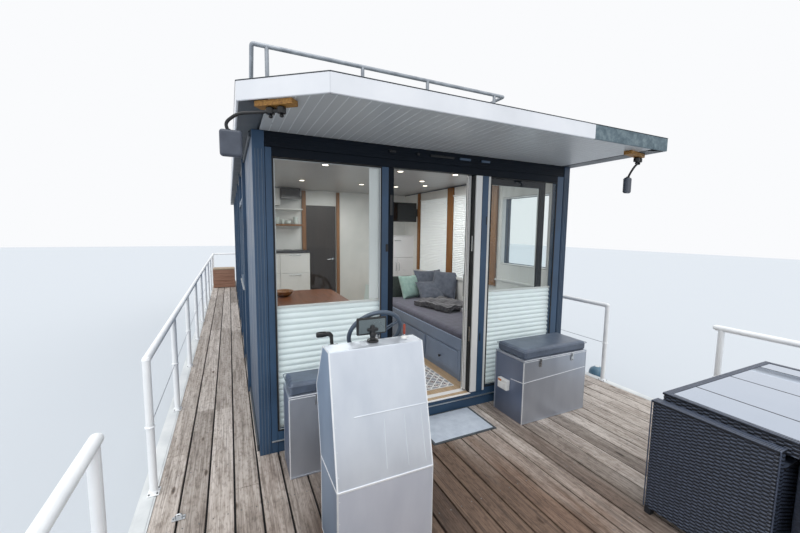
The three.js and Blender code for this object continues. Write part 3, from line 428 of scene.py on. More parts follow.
# Two square grids of points, upper and lower, joined round their rims
def gridShape(points, steps):
    row = steps + 1
    half = row * row
    faces = []
    for i in range(steps):
        for j in range(steps):
            a = i * row + j
            faces.append((a, a + row, a + row + 1, a + 1))
            faces.append((half + a, half + a + 1, half + a + row + 1, half + a + row))
    rim = [i * row for i in range(steps)] + [steps * row + j for j in range(steps)]
    rim += [(steps - i) * row + steps for i in range(steps)] + [steps - j for j in range(steps)]
    return points, faces + [(a, b, half + b, half + a) for a, b in zip(rim, rim[1:] + rim[:1])]


# Corners of a turn about an axis: one outward direction each
def roundAbout(axis, sides):
    axis = Vector(axis).normalized()
    side = axis.orthogonal().normalized()
    across = axis.cross(side)
    angles = [2 * math.pi * k / sides for k in range(sides)]
    return axis, [side * math.cos(angle) + across * math.sin(angle) for angle in angles]


# Route with its corners rounded
def roundedRoute(corners, bend, steps=6):
    spots = [Vector(corner) for corner in corners]
    route = [spots[0]]
    for before, here, after in zip(spots, spots[1:], spots[2:]):
        first = here + (before - here).normalized() * min(bend, (before - here).length * 0.45)
        last = here + (after - here).normalized() * min(bend, (after - here).length * 0.45)
        for i in range(steps + 1):
            t = i / steps
            route.append(first * (1 - t) ** 2 + here * 2 * t * (1 - t) + last * t ** 2)
    return route + [spots[-1]]


# Round tube along a route; radius may be a list, one for each point of the route
def tubeShape(route, radius, sides=14):
    route = [Vector(spot) for spot in route]
    radii = radius if isinstance(radius, list) else [radius] * len(route)
    rings, normal = [], None
    for i, spot in enumerate(route):
        along = (route[min(i + 1, len(route) - 1)] - route[max(i - 1, 0)]).normalized()
        if normal is None:
            normal = along.orthogonal().normalized()
        normal = (normal - along * normal.dot(along)).normalized()
        across = along.cross(normal)
        angles = [2 * math.pi * k / sides for k in range(sides)]
        rings.append([spot + (normal * math.cos(a) + across * math.sin(a)) * radii[i] for a in angles])
    return loftShape(rings)


# Piece turned about an axis: profile holds (radius, height along the axis)
def turnedShape(profile, centre, axis=(0, 0, 1), sides=20):
    axis, turns = roundAbout(axis, sides)
    return loftShape([[Vector(centre) + axis * height + turn * max(radius, 1e-4) for turn in turns]
        for radius, height in profile])


# Ring of round bar
def ringShape(centre, axis, radius, bar, around=48, sides=12):
    axis, turns = roundAbout(axis, around)
    angles = [2 * math.pi * k / sides for k in range(sides)]
    points = [tuple(Vector(centre) + out * (radius + bar * math.cos(a)) + axis * bar * math.sin(a))
        for out in turns for a in angles]
    faces = [(i * sides + k, i * sides + (k + 1) % sides, (i + 1) % around * sides + (k + 1) % sides,
        (i + 1) % around * sides + k) for i in range(around) for k in range(sides)]
    return points, faces


def movedShape(shape, matrix):
    return [tuple(matrix @ Vector(point)) for point in shape[0]], shape[1]


# The same shape with its sharp edges rounded by a width
def softened(shape, width, segments=2, sharp=28):
    mesh = bmesh.new()
    corners = [mesh.verts.new(point) for point in shape[0]]
    for face in shape[1]:
        mesh.faces.new([corners[i] for i in face])
    bmesh.ops.recalc_face_normals(mesh, faces=mesh.faces)
    edges = [edge for edge in mesh.edges if edge.calc_face_angle(0) > math.radians(sharp)]
    bmesh.ops.bevel(mesh, geom=edges, offset=width, segments=segments, profile=0.5, affect="EDGES",
        clamp_overlap=True)
    mesh.verts.index_update()
    points = [tuple(vert.co) for vert in mesh.verts]
    faces = [tuple(vert.index for vert in face.verts) for face in mesh.faces]
    mesh.free()
    return points, faces


def softBlock(x0, x1, y0, y1, z0, z1, width=0.003, segments=2):
    return softened(blockShape(x0, x1, y0, y1, z0, z1), width, segments)


# Four bars round an opening
def rimShapes(x0, x1, z0, z1, width, y0, y1, ease=0.0015):
    bars = ((x0, x0 + width, z0, z1), (x1 - width, x1, z0, z1), (x0 + width, x1 - width, z0, z0 + width),
        (x0 + width, x1 - width, z1 - width, z1))
    return [softBlock(a, b, y0, y1, c, d, ease, 1) for a, b, c, d in bars]


def span(middle, half):
    return middle - half, middle + half


# The shapes of one piece, each with its material's key, or one key for each face
class Parts(list):
    def add(self, kind, *shapes):
        self.extend((shape, kind) for shape in shapes)

    def block(self, kind, *sizes):
        self.add(kind, softBlock(*sizes))

    def turned(self, kind, *form, **more):
        self.add(kind, turnedShape(*form, **more))

    def tube(self, kind, corners, radius, sides=14, bend=None):
        self.add(kind, tubeShape(roundedRoute(corners, bend) if bend else corners, radius, sides))

    def prism(self, kind, axis, outline, start, end, *ease):
        shape = prismShape(axis, outline, start, end)
        self.add(kind, softened(shape, *ease) if ease else shape)


# Joins shapes to one piece that rides on a body
def makePiece(name, parts, body="root", replaces=(), smooth=35):
    spreadKinds = [[kind] * len(shape[1]) if isinstance(kind, str) else kind for shape, kind in parts]
    kinds = list(dict.fromkeys(kind for faceKinds in spreadKinds for kind in faceKinds))
    points, faces, indices = [], [], []
    for (shape, _), faceKinds in zip(parts, spreadKinds):
        start = len(points)
        points.extend(shape[0])
        faces.extend(tuple(start + i for i in face) for face in shape[1])
        indices.extend(kinds.index(faceKind) for faceKind in faceKinds)
    mesh = bpy.data.meshes.new(name)
    mesh.from_pydata((np.array(points) + np.array(datum)).tolist(), [], faces)
    mesh.polygons.foreach_set("material_index", indices)
    for kind in kinds:
        mesh.materials.append(materials[kind])
    cleaned = bmesh.new()
    cleaned.from_mesh(mesh)
    bmesh.ops.recalc_face_normals(cleaned, faces=cleaned.faces)
    cleaned.to_mesh(mesh)
    cleaned.free()
    piece = link(name, mesh)
    if smooth:
        mesh.shade_smooth()
        mesh.set_sharp_from_angle(angle=math.radians(smooth))
        piece.modifiers.new("evenNormals", "WEIGHTED_NORMAL").keep_sharp = True
    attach(piece, body)
    if replaces:
        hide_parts(*replaces)
    return piece


def paintNodes(kind, *nodes):
    for node in nodes:
        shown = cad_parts[node]
        shown.data.materials.clear()
        shown.data.materials.append(materials[kind])


# Pale overcast studio: a white world, a broad soft sun from above, lamps below the ceiling
studio = {"sky": "#fafbfd", "sunEnergy": 1.5, "sunSpread": 60, "sunFrom": (-0.35, -0.55, 1.5),
    "floor": "#c3c9cf #c3c9cf", "floorReach": 45, "ceilingWatts": 10, "lampSize": 0.7,
    "lampTint": (1.0, 0.99, 0.97), "lamps": ((0.9, 1.2), (2.1, 1.5), (1.4, 2.7)), "lampZ": 2.27}


def makeStudio():
    world = bpy.data.worlds.new("paleOvercast")
    world.use_nodes = True
    tree = world.node_tree
    addNode(tree, tree.nodes["Background"], {"Color": toLinear(studio["sky"]), "Strength": 1.0})
    bpy.context.scene.world = world
    bpy.context.scene.view_settings.view_transform = "Standard"
    sun = bpy.data.lights.new("softSun", "SUN")
    sun.energy, sun.angle = studio["sunEnergy"], math.radians(studio["sunSpread"])
    link("softSun", sun).rotation_euler = Vector(studio["sunFrom"]).to_track_quat("Z", "Y").to_euler()
    for number, spot in enumerate(studio["lamps"]):
        lamp = bpy.data.lights.new(f"ceilingLamp{number}", "AREA")
        lamp.size, lamp.energy, lamp.color = studio["lampSize"], studio["ceilingWatts"], studio["lampTint"]
        link(f"ceilingLamp{number}", lamp).location = datum + Vector((*spot, studio["lampZ"]))
    reach = studio["floorReach"]
    mesh = bpy.data.meshes.new("studioFloor")
    mesh.from_pydata([(x * reach, y * reach, waterline) for x, y in ((-1, -1), (1, -1), (1, 1), (-1, 1))], [],
        [(0, 1, 2, 3)])
    mesh.materials.append(makeFinish("matStudioFloor", studio["floor"], 0.85, 0.9, 0.0, 900, 30, 0.05))
    link("studioFloor", mesh)


makeStudio()


# Deck: single larch boards with eased edges, butt joints over the beams and a pair of screws at each beam
decking = {"pitch": 0.149, "gap": 0.0115, "firstGap": -0.472, "thickness": 0.026, "edge": 0.0035,
    "lengths": (2.4, 4.2), "butt": 0.004, "beamPitch": 0.5, "screwInset": 0.03, "screw": 0.0045}


def boardLines():
    low, high = nodeBox("deck_starboard")[0], nodeBox("deck_port")[1]
    cuts = [low.x - decking["gap"] / 2]
    gap = decking["firstGap"]
    while gap < high.x:
        cuts.append(gap)
        gap += decking["pitch"]
    cuts.append(high.x + decking["gap"] / 2)
    half = decking["gap"] / 2
    return [(a + half, b - half) for a, b in zip(cuts, cuts[1:])], low.y, high.y


def makeDeck():
    lines, bow, stern = boardLines()
    cabinLow, cabinHigh = nodeBox("deck_fore")[0].x, nodeBox("deck_fore")[1].x
    foreEnd, aftStart = nodeBox("deck_fore")[1].y, nodeBox("deck_stern")[0].y
    draw = random.Random(11)
    boards, screws = Parts(), Parts()

    def layBoard(x0, x1, y0, y1):
        lift = draw.uniform(-0.0012, 0.0)
        boards.block("larch", x0, x1, y0, y1, -decking["thickness"], lift, decking["edge"])
        if x1 - x0 < 0.07:
            return
        beam = decking["beamPitch"]
        rows = np.arange(math.ceil(y0 / beam) * beam, y1, beam)
        for y in rows:
            if not y0 + 0.02 < y < y1 - 0.02:
                continue
            for x in (x0 + decking["screwInset"], x1 - decking["screwInset"]):
                spot = x + draw.uniform(-0.004, 0.004), y + draw.uniform(-0.006, 0.006), lift
                screws.turned("screw", [(decking["screw"], -0.001), (decking["screw"], 0.0005),
                    (0.002, 0.0007)], spot, sides=7)

    def layRun(x0, x1, y0, y1):
        y = y0
        ahead = draw.uniform(*decking["lengths"])
        while y < y1 - 0.3:
            end = min(y + ahead, y1)
            if y1 - end < 0.6:
                end = y1
            layBoard(x0, x1, y, end - (decking["butt"] if end < y1 else 0))
            y = end
            ahead = draw.uniform(*decking["lengths"])

    # A dark sheet over the beams, painted shade for what the gaps show
    for node in ("deck_starboard", "deck_port", "deck_fore", "deck_stern"):
        low, high = nodeBox(node)
        boards.add("gasket", blockShape(low.x + 0.004, high.x - 0.004, low.y + 0.004, high.y - 0.004,
            low.z + 0.0002, -decking["thickness"] - 0.0004))
    for x0, x1 in lines:
        if x1 <= cabinLow or x0 >= cabinHigh:
            layRun(x0, x1, bow, stern)
            continue
        layRun(x0, x1, bow, foreEnd)
        layRun(x0, x1, aftStart, stern)
        if x0 < cabinLow:
            layBoard(x0, cabinLow - 0.001, foreEnd, aftStart)
        if x1 > cabinHigh:
            layBoard(cabinHigh + 0.001, x1, foreEnd, aftStart)
    makePiece("deckBoards", boards, smooth=None,
        replaces=("deck_starboard", "deck_port", "deck_fore", "deck_stern"))
    makePiece("deckScrews", screws, smooth=None)
    print("deck:", len(boards), "boards,", len(screws), "screws")


makeDeck()
paintNodes("hullPaint", "pontoon_starboard", "pontoon_port")
paintNodes("edgePaint", "deck_frame")


# Cabin front: posts, mullions and header as separate slate boards, with gaskets and beads round the panes
front = {"depth": 0.06, "track": 0.12, "paneTop": 2.132, "paneFoot": 0.155, "foot": -0.026, "sill": 0.125,
    "top": 2.2995, "splitZ": 2.197, "gasket": 0.01, "bead": 0.006, "flashing": 0.087,
    "panes": ((0.125, 0.94), (2.01, 2.841)), "doorway": (1.041, 1.846),
    "ribs": (0.016, 0.036, 0.058, 2.945, 2.966, 2.987)}


def makeFrontFrame():
    depth, track, foot, top, split = (front[key] for key in ("depth", "track", "foot", "top", "splitZ"))
    postFoot, postTop, paneFoot = 0.128, front["paneTop"] + 0.002, front["paneFoot"] - 0.001
    parts = Parts()
    # Boards: kind, x and z from and to, and how far each one's face lies back
    # The darker slate copies below are painted shade: on the header, the mullion beside the doorway and the
    # right corner post
    for kind, x0, x1, z0, z1, y in (
            ("slate", 0.0, 0.079, foot, top, 0.0),
            ("slate", 0.081, 0.125, foot, split - 0.001, 0.004),
            ("slate", 0.94, 0.998, postFoot, postTop, 0.003),
            ("slateDeepPaintedShade", 0.999, 1.041, postFoot, postTop, 0.007),
            ("whiteLacquer", 1.8475, 1.914, 0.132, postTop, 0.003),
            ("slate", 1.916, 1.982, postFoot, postTop, 0.0),
            ("innerBoards", 1.984, 2.0105, postFoot, postTop, 0.006),
            ("slate", 2.841, 2.926, foot, split - 0.001, 0.004),
            ("slatePaintedShade", 2.929, 3.005, foot, top, 0.0),
            ("slateDeepPaintedShade", 0.081, 2.926, split + 0.001, top, 0.006),
            ("slateDeepPaintedShade", 0.126, 2.84, postTop + 0.001, split - 0.001, 0.0),
            ("slate", 0.126, 0.9395, foot, paneFoot, 0.004),
            ("slate", 2.0105, 2.8405, foot, paneFoot, 0.004),
            ("slate", 0.9405, 2.01, foot, front["sill"], 0.002)):
        parts.block(kind, x0, x1, y, depth, z0, z1, 0.003)
    # Moulded ribs down the corner posts in the lighter slate, a painted highlight, and grooves along the
    # header in the darkest slate, painted shade
    for x in front["ribs"]:
        parts.block("slatePaintedHighlight", x, x + 0.006, -0.003, 0.002, 0.0, split - 0.02, 0.001)
    for z in (split + 0.03, split + 0.066):
        parts.block("slateDeepPaintedShade", 0.0, 3.005, 0.0035, 0.01, z, z + 0.005, 0.001)
    parts.block("anodised", 0.082, 2.925, -0.01, 0.004, *span(front["flashing"], 0.004), 0.001, 1)
    parts.block("whiteLacquer", 1.043, 1.844, -0.01, 0.014, front["sill"] + 0.0005, front["sill"] + 0.006,
        0.001, 1)
    parts.block("floorWood", 1.043, 1.844, 0.0145, track, front["sill"] + 0.0005, front["sill"] + 0.004,
        0.001, 1)
    for x0, x1 in front["panes"]:
        parts.add("gasket", *rimShapes(x0, x1, front["paneFoot"], front["paneTop"], front["gasket"], 0.0005,
            0.0098))
        inner = front["gasket"]
        # Only the starboard pane shows a bright bead inside its gasket
        if x0 > 1:
            continue
        parts.add("anodised", *rimShapes(x0 + inner, x1 - inner, front["paneFoot"] + inner,
            front["paneTop"] - inner, front["bead"], 0.003, 0.0098))
    # Upper and lower tracks of the sliding leaf
    for z0, z1 in ((foot, 0.1295), (2.151, top)):
        parts.block("whiteLacquer", 0.096, 2.909, depth + 0.0005, track, z0, z1, 0.002, 1)
    # Doorway: a gasket with two keeper plates down the jamb where the leaf closes, and opposite a strip of
    # the darkest slate, painted shade
    jamb = front["doorway"][1]
    parts.block("gasket", jamb - 0.01, jamb - 0.0005, 0.014, 0.058, 0.1315, 2.13, 0.0015, 1)
    for z in (0.62, 1.46):
        parts.block("spoke", jamb - 0.0122, jamb - 0.01, 0.02, 0.034, z, z + 0.14, 0.0008, 1)
    jamb = front["doorway"][0]
    parts.block("slateDeepPaintedShade", jamb + 0.0005, jamb + 0.006, 0.012, 0.058, 0.1315, 2.13, 0.0015, 1)
    for x, z in ((1.962, 1.7), (1.93, 0.62)):
        parts.block("blackPlastic", x, x + 0.011, -0.0035, 0.001, z, z + 0.075, 0.002, 1)
    for x, z, tall in ((1.02, 1.76, 0.16), (0.985, 1.47, 0.06)):
        parts.block("blackPlastic", *span(x, 0.01), -0.002, 0.007, z, z + tall, 0.002, 1)
    # Small fittings screwed below the header, two of them in the lighter slate of painted highlight
    for x, width, kind in ((1.0, 0.055, "blackPlastic"), (1.245, 0.022, "blackPlastic"),
            (1.37, 0.23, "blackPlastic"), (1.66, 0.11, "slatePaintedHighlight"), (1.89, 0.09, "slatePaintedHighlight")):
        parts.block(kind, x, x + width, -0.01, 0.0055, 2.248, 2.266, 0.002)
    makePiece("cabinFront", parts, replaces=("front_frame",))


makeFrontFrame()
glassNodes = [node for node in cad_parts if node.startswith("glass_") or node == "door_leaf_glass"]
paintNodes("glass", *glassNodes)


# Bow handle or bracket: out from one spot, along, and back in at the other
def bowRoute(start, end, out, bend):
    start, end, out = Vector(start), Vector(end), Vector(out)
    return roundedRoute([start, start + out, end + out, end], bend)


# Sliding leaf: slate outside in the darkest copy, painted shade, and white inside, with a grey seal along its
# leading edge and a bow handle
leaf = {"stile": 0.072}


def makeLeaf():
    low, high = nodeBox("door_leaf")
    foot, middle, stile = low.z + 0.006, low.y + 0.024, leaf["stile"]
    parts = Parts()
    for y0, y1, kind in ((low.y, middle - 0.0005, "slateDeepPaintedShade"), (middle + 0.0005, high.y, "whiteLacquer")):
        parts.add(kind, *rimShapes(low.x, high.x, foot, high.z, stile - 0.0008, y0, y1, 0.003))
    # Edge profile with its seal, and two bright strips down the outer face
    for kind, x0, x1, y0, y1, inset, ease in (
            ("whiteLacquer", -0.004, -0.0003, low.y + 0.004, high.y - 0.004, 0.01, 0.001),
            ("darkPaint", -0.0062, -0.004, middle - 0.003, middle + 0.003, 0.02, 0.0008),
            ("whiteLacquer", 0.0005, 0.0115, low.y - 0.0012, low.y + 0.002, 0.004, 0.001),
            ("whiteLacquer", 0.013, 0.024, low.y - 0.0012, low.y + 0.002, 0.004, 0.001)):
        parts.block(kind, low.x + x0, low.x + x1, y0, y1, foot + inset, high.z - inset, ease, 1)
    for x in span((low.x + high.x) / 2, (high.x - low.x) / 2 - 0.15):
        parts.block("blackPlastic", *span(x, 0.025), low.y + 0.008, high.y - 0.008, low.z, foot - 0.0003,
            0.002, 1)
    x = low.x + stile * 0.45
    parts.tube("blackPlastic", bowRoute((x, high.y, 1.02), (x, high.y, 1.24), (0, 0.04, 0), 0.02), 0.009, 10)
    makePiece("slidingLeaf", parts, body="door_leaf", replaces=("door_leaf",))


makeLeaf()


# Pleated blinds: one folded cloth between a white head rail and a foot rail
pleats = {"pitch": 0.044, "thickness": 0.0012, "rail": 0.018, "inset": 0.004, "facets": 6}


# Cells bulge outwards between sharp creases
def pleatedSheet(x0, x1, z0, z1, yOut, yIn, pitch=None):
    count = round((z1 - z0) / (pitch or pleats["pitch"]))
    facets = pleats["facets"]
    line = [(yIn + (yOut - yIn) * abs(math.sin(math.pi * i / facets)),
        z0 + (z1 - z0) * i / (facets * count)) for i in range(facets * count + 1)]
    back = [(y + pleats["thickness"], z) for y, z in line]
    shape = prismShape("x", line + back[::-1], x0, x1)
    run = sum(math.dist(a, b) for a, b in zip(line, line[1:]))
    return shape, run


def makeFrontBlinds():
    for side in ("starboard", "port"):
        low, high = nodeBox(f"blind_{side}")
        x0, x1 = low.x + pleats["inset"], high.x - pleats["inset"]
        z0, z1 = low.z + pleats["rail"], high.z - pleats["rail"]
        middle = (low.y + high.y) / 2
        cloth, run = pleatedSheet(x0, x1, z0, z1, middle - 0.007, middle + 0.006)
        sheet = makePiece(f"frontBlind_{side}", [(cloth, "blind")],
            replaces=(f"blind_{side}",), smooth=50)
        rails = [(softBlock(x0 - 0.003, x1 + 0.003, low.y + 0.001, high.y - 0.001, a, b, 0.002),
            "whiteLacquer") for a, b in ((low.z, z0 - 0.0005), (z1 + 0.0005, high.z))]
        held = makePiece(f"frontBlindRails_{side}", rails)


makeFrontBlinds()
print("cabin front: done")


# Roof: coil-coated fascia in lengths, soffit boards greyed as painted shade with lighter beads as painted
# highlight, dark strips beside them as painted shade, felt on top
roof = {"boardPitch": 0.120, "boardGap": 0.0012, "boardDepth": 0.012, "helmCorner": (0.31, -0.53),
    "seams": (2.213, 2.888), "seamGap": 0.0012, "sleeve": 0.15, "cabinBack": 8.0, "ceiling": (0.125, 7.9)}


def roofOutline(inset=0.0):
    low, high = nodeBox("roof")
    cutX, cutY = roof["helmCorner"]
    nudge = inset * math.tan(math.atan2(cutX - low.x, cutY - low.y) / 2)
    other = inset * math.tan(math.atan2(cutY - low.y, cutX - low.x) / 2)
    return [(low.x + inset, cutY + nudge), (cutX + other, low.y + inset), (high.x - inset, low.y + inset),
        (high.x - inset, high.y - inset), (low.x + inset, high.y - inset)]


def sideSpan(outline, x):
    ys = []
    for (ax, ay), (bx, by) in zip(outline, outline[1:] + outline[:1]):
        if (ax - x) * (bx - x) < 0:
            ys.append(ay + (by - ay) * (x - ax) / (bx - ax))
    return min(ys), max(ys)


def makeRoof():
    low, high = nodeBox("roof")
    top = high.z
    deckTop = top - 0.025
    outer, inner = roofOutline(), roofOutline(0.014)
    parts = Parts()
    parts.prism("darkPaint", "z", inner, low.z + roof["boardDepth"] + 0.001, deckTop - 0.004)
    parts.prism("membrane", "z", roofOutline(0.016), deckTop - 0.0035, deckTop, 0.001, 1)
    # Fascia boards along each side, split at their seams, each with a dark lip on its top edge
    for i in range(len(outer)):
        j = (i + 1) % len(outer)
        a, b, c, d = Vector(outer[i]), Vector(outer[j]), Vector(inner[i]), Vector(inner[j])
        fore = abs(a.y - b.y) < 1e-6 and a.y < 0
        cuts = [0.0, 1.0]
        if fore:
            cuts += [(x - a.x) / (b.x - a.x) for x in roof["seams"]]
        elif abs(a.x - b.x) < 1e-6:
            cuts += [0.25, 0.5, 0.75]
        cuts.sort()
        gap = roof["seamGap"] / (b - a).length
        for s, t in zip(cuts, cuts[1:]):
            start, end = s + (gap if s > 0 else 0.0), t - (gap if t < 1 else 0.0)
            corners = a.lerp(b, start), a.lerp(b, end), c.lerp(d, end), c.lerp(d, start)
            quad = [tuple(point) for point in corners]
            parts.prism("zinc" if fore and s > 0.5 else "fascia", "z", quad, low.z, top, 0.004, 3)
            lip = [tuple(Vector(quad[k]) + (Vector(quad[3 - k]) - Vector(quad[k])) * share)
                for k, share in ((0, -0.12), (1, -0.12), (2, 0.0), (3, 0.0))]
            parts.prism("darkPaint", "z", lip, top + 0.0005, top + 0.0045, 0.0015, 1)
    # Sleeves of dark grey sheet along the soffit's outer strips: the fascia's inner flange, darkened as
    # painted shade
    sleeves = (low.x, low.x + roof["sleeve"]), (high.x - roof["sleeve"] - 0.03, high.x)
    for x0, x1 in sleeves:
        y0, y1 = sideSpan(outer, (x0 + x1) / 2)
        strip = [(x0 + 0.015, y0 + 0.06), (x1 - 0.015, y0 + 0.02), (x1 - 0.015, y1 - 0.015),
            (x0 + 0.015, y1 - 0.015)]
        parts.prism("darkPaint", "z", strip, low.z - 0.0002, low.z + 0.004, 0.001, 1)
    # Soffit boards run fore and aft, before the cabin and behind it, greyed as painted shade
    start, stop = sleeves[0][1] + 0.001, sleeves[1][0] - 0.001
    cabinBack = roof["cabinBack"]
    x = start
    while x < stop - 0.02:
        end = min(x + roof["boardPitch"], stop)
        right = end - roof["boardGap"]
        (foreA, aftA), (foreB, aftB) = sideSpan(outer, x + 1e-4), sideSpan(outer, right)
        ahead = [(x, foreA + 0.016), (right, foreB + 0.016), (right, -0.001), (x, -0.001)]
        behind = [(x, cabinBack + 0.001), (right, cabinBack + 0.001), (right, aftB - 0.016),
            (x, aftA - 0.016)]
        for board in (ahead, behind):
            parts.prism("soffit", "z", board, low.z - 0.0003, low.z + roof["boardDepth"], 0.002, 1)
        x = end
    # Moulded beads between and along the middle of the soffit boards, lighter than the boards: a painted
    # highlight
    x = start + roof["boardPitch"] / 2
    while x < stop - 0.01:
        y0, y1 = sideSpan(outer, x)
        for a, b in ((y0 + 0.020, -0.002), (cabinBack + 0.002, y1 - 0.020)):
            parts.block("soffitBeadPaintedHighlight", *span(x, 0.0028), a, b, low.z - 0.0012, low.z + 0.001, 0.0005, 1)
        x += roof["boardPitch"] / 2
    # Ceiling boards of the cabin run across, greyed as painted shade
    y, back = roof["ceiling"]
    while y < back:
        end = min(y + 0.15, back)
        parts.block("ceilingBoardsPaintedShade", 0.093, 2.912, y, end - 0.003, low.z - 0.0002, low.z + 0.010, 0.0015, 1)
        y = end
    # Felt seams lie on the roof, lengthwise laps every metre
    for x in (0.45, 1.45, 2.45):
        parts.block("membrane", x, x + 0.08, -0.60, 8.45, deckTop + 0.0002, deckTop + 0.003, 0.001, 1)
    makePiece("roofDressed", parts, replaces=("roof",))


makeRoof()


# Grab rail along the roof's front edge: galvanised tube, bent down at both ends, on welded foot plates
roofRail = {"legRun": 0.17, "returnLength": 0.18, "posts": (0.06, 0.604, 1.051, 1.6), "bend": 0.014}


def makeRoofRail():
    low, high = nodeBox("roof_rail")
    radius = 0.0115
    x0, x1 = low.x + 0.03, high.x - 0.03
    y, z = low.y + 0.012, high.z - 0.012
    foot = low.z
    legY = y + roofRail["returnLength"] + roofRail["legRun"]
    route = roundedRoute([(x0, y + roofRail["legRun"], foot + 0.004), (x0, y, z), (x1, y, z),
        (x1, y + roofRail["returnLength"], z), (x1, legY, foot + 0.004)], roofRail["bend"])
    parts = Parts()
    parts.tube("galvanised", route, radius, 16)
    spots = [(x, y) for x in roofRail["posts"]] + [(x0, y + roofRail["legRun"]), (x1, legY)]
    for x, plateY in spots:
        parts.block("galvanised", *span(x, 0.03), *span(plateY, 0.03), foot, foot + 0.006, 0.002)
        for dx, dy in ((-0.02, -0.02), (0.02, 0.02), (-0.02, 0.02), (0.02, -0.02)):
            parts.turned("screw", [(0.005, 0.005), (0.005, 0.01), (0.002, 0.011)],
                (x + dx, plateY + dy, foot), sides=6)
    for x in roofRail["posts"]:
        parts.tube("galvanised", [(x, y, foot + 0.002), (x, y, z)], radius * 0.95, 14)
        parts.turned("galvanised", [(0.014, 0.0055), (0.0115, 0.014)], (x, y, foot), sides=14)
    makePiece("roofGrabRail", parts, replaces=("roof_rail",))


makeRoofRail()


# Mirrors: a black shell with a glass face on a swan-neck arm, clamped to an oiled pine block
mirrors = {
    "starboard": {"block": ((0.004, -0.553), (0.172, -0.694)), "clamps": ((0.062, -0.602), (0.112, -0.642)),
        "arm": ((0.09, -0.62, 2.25), (0.02, -0.6, 2.24), (-0.096, -0.585, 2.222), (-0.155, -0.565, 2.175),
            (-0.14, -0.56, 2.13)),
        "head": (-0.13, -0.56, 2.075), "size": (0.108, 0.042, 0.135)},
    "port": {"block": ((2.76, -0.745), (3.02, -0.69)), "clamps": ((3.0, -0.69), (2.95, -0.7)),
        "arm": ((3.0, -0.69, 2.238), (3.008, -0.67, 2.225), (3.005, -0.65, 2.205), (2.985, -0.63, 2.15),
            (2.975, -0.62, 2.11)),
        "head": (2.975, -0.62, 2.05), "size": (0.068, 0.042, 0.135)}}


def makeMirror(side):
    form = mirrors[side]
    top = 2.2995
    (ax, ay), (bx, by) = form["block"]
    across = Vector((-(by - ay), bx - ax)).normalized() * 0.031
    outline = [(ax + across.x, ay + across.y), (ax - across.x, ay - across.y), (bx - across.x, by - across.y),
        (bx + across.x, by + across.y)]
    parts = Parts()
    parts.prism("mirrorBlock", "z", outline, top - 0.029, top, 0.003, 2)
    for x, y in form["clamps"]:
        parts.turned("blackPlastic", [(0.006, -0.008), (0.021, -0.006), (0.023, 0.0), (0.023, 0.022),
            (0.017, 0.029)], (x, y, top - 0.0585), sides=20)
        parts.turned("blackPlastic", [(0.005, 0.0), (0.011, 0.004), (0.011, 0.01), (0.006, 0.018)],
            (x, y, top - 0.084), sides=10)
    (cx, cy), (dx, dy) = form["clamps"]
    parts.tube("blackPlastic", [(cx, cy, top - 0.048), (dx, dy, top - 0.048)], 0.011, 12)
    route = roundedRoute(form["arm"], 0.03)
    parts.tube("blackPlastic", route, 0.0085, 14)
    x, y, z = form["head"]
    width, depth, height = form["size"]
    shell = softBlock(*span(x, width / 2), *span(y, depth / 2), *span(z, height / 2), 0.016, 5)
    parts.add("mirrorShell", shell)
    parts.block("spoke", x - width / 2 + 0.009, x + width / 2 - 0.009, y + depth / 2 - 0.004,
        y + depth / 2 + 0.0015, z - height / 2 + 0.01, z + height / 2 - 0.01, 0.0015, 2)
    parts.turned("blackPlastic", [(0.014, -0.01), (0.014, 0.012), (0.009, 0.016)], form["arm"][-1], sides=16)
    makePiece(f"mirrorDressed_{side}", parts, replaces=(f"mirror_{side}",))


for side in mirrors:
    makeMirror(side)


# Railings: white coated tube with soft elbows, posts on bolted plates, and a thin wire at half height
railings = {"radius": 0.024, "top": 0.85, "wire": 0.43, "wireRadius": 0.0025, "bend": 0.07, "motorX": 1.4675,
    "aftPitch": 1.15, "gateReach": {"fore": 0.56, "aft": 0.48},
    # Where each rail starts beside the cabin
    "gate": {("fore", "starboard"): -1.02, ("fore", "port"): -1.092, ("aft", "starboard"): -0.12,
        ("aft", "port"): -0.115}}


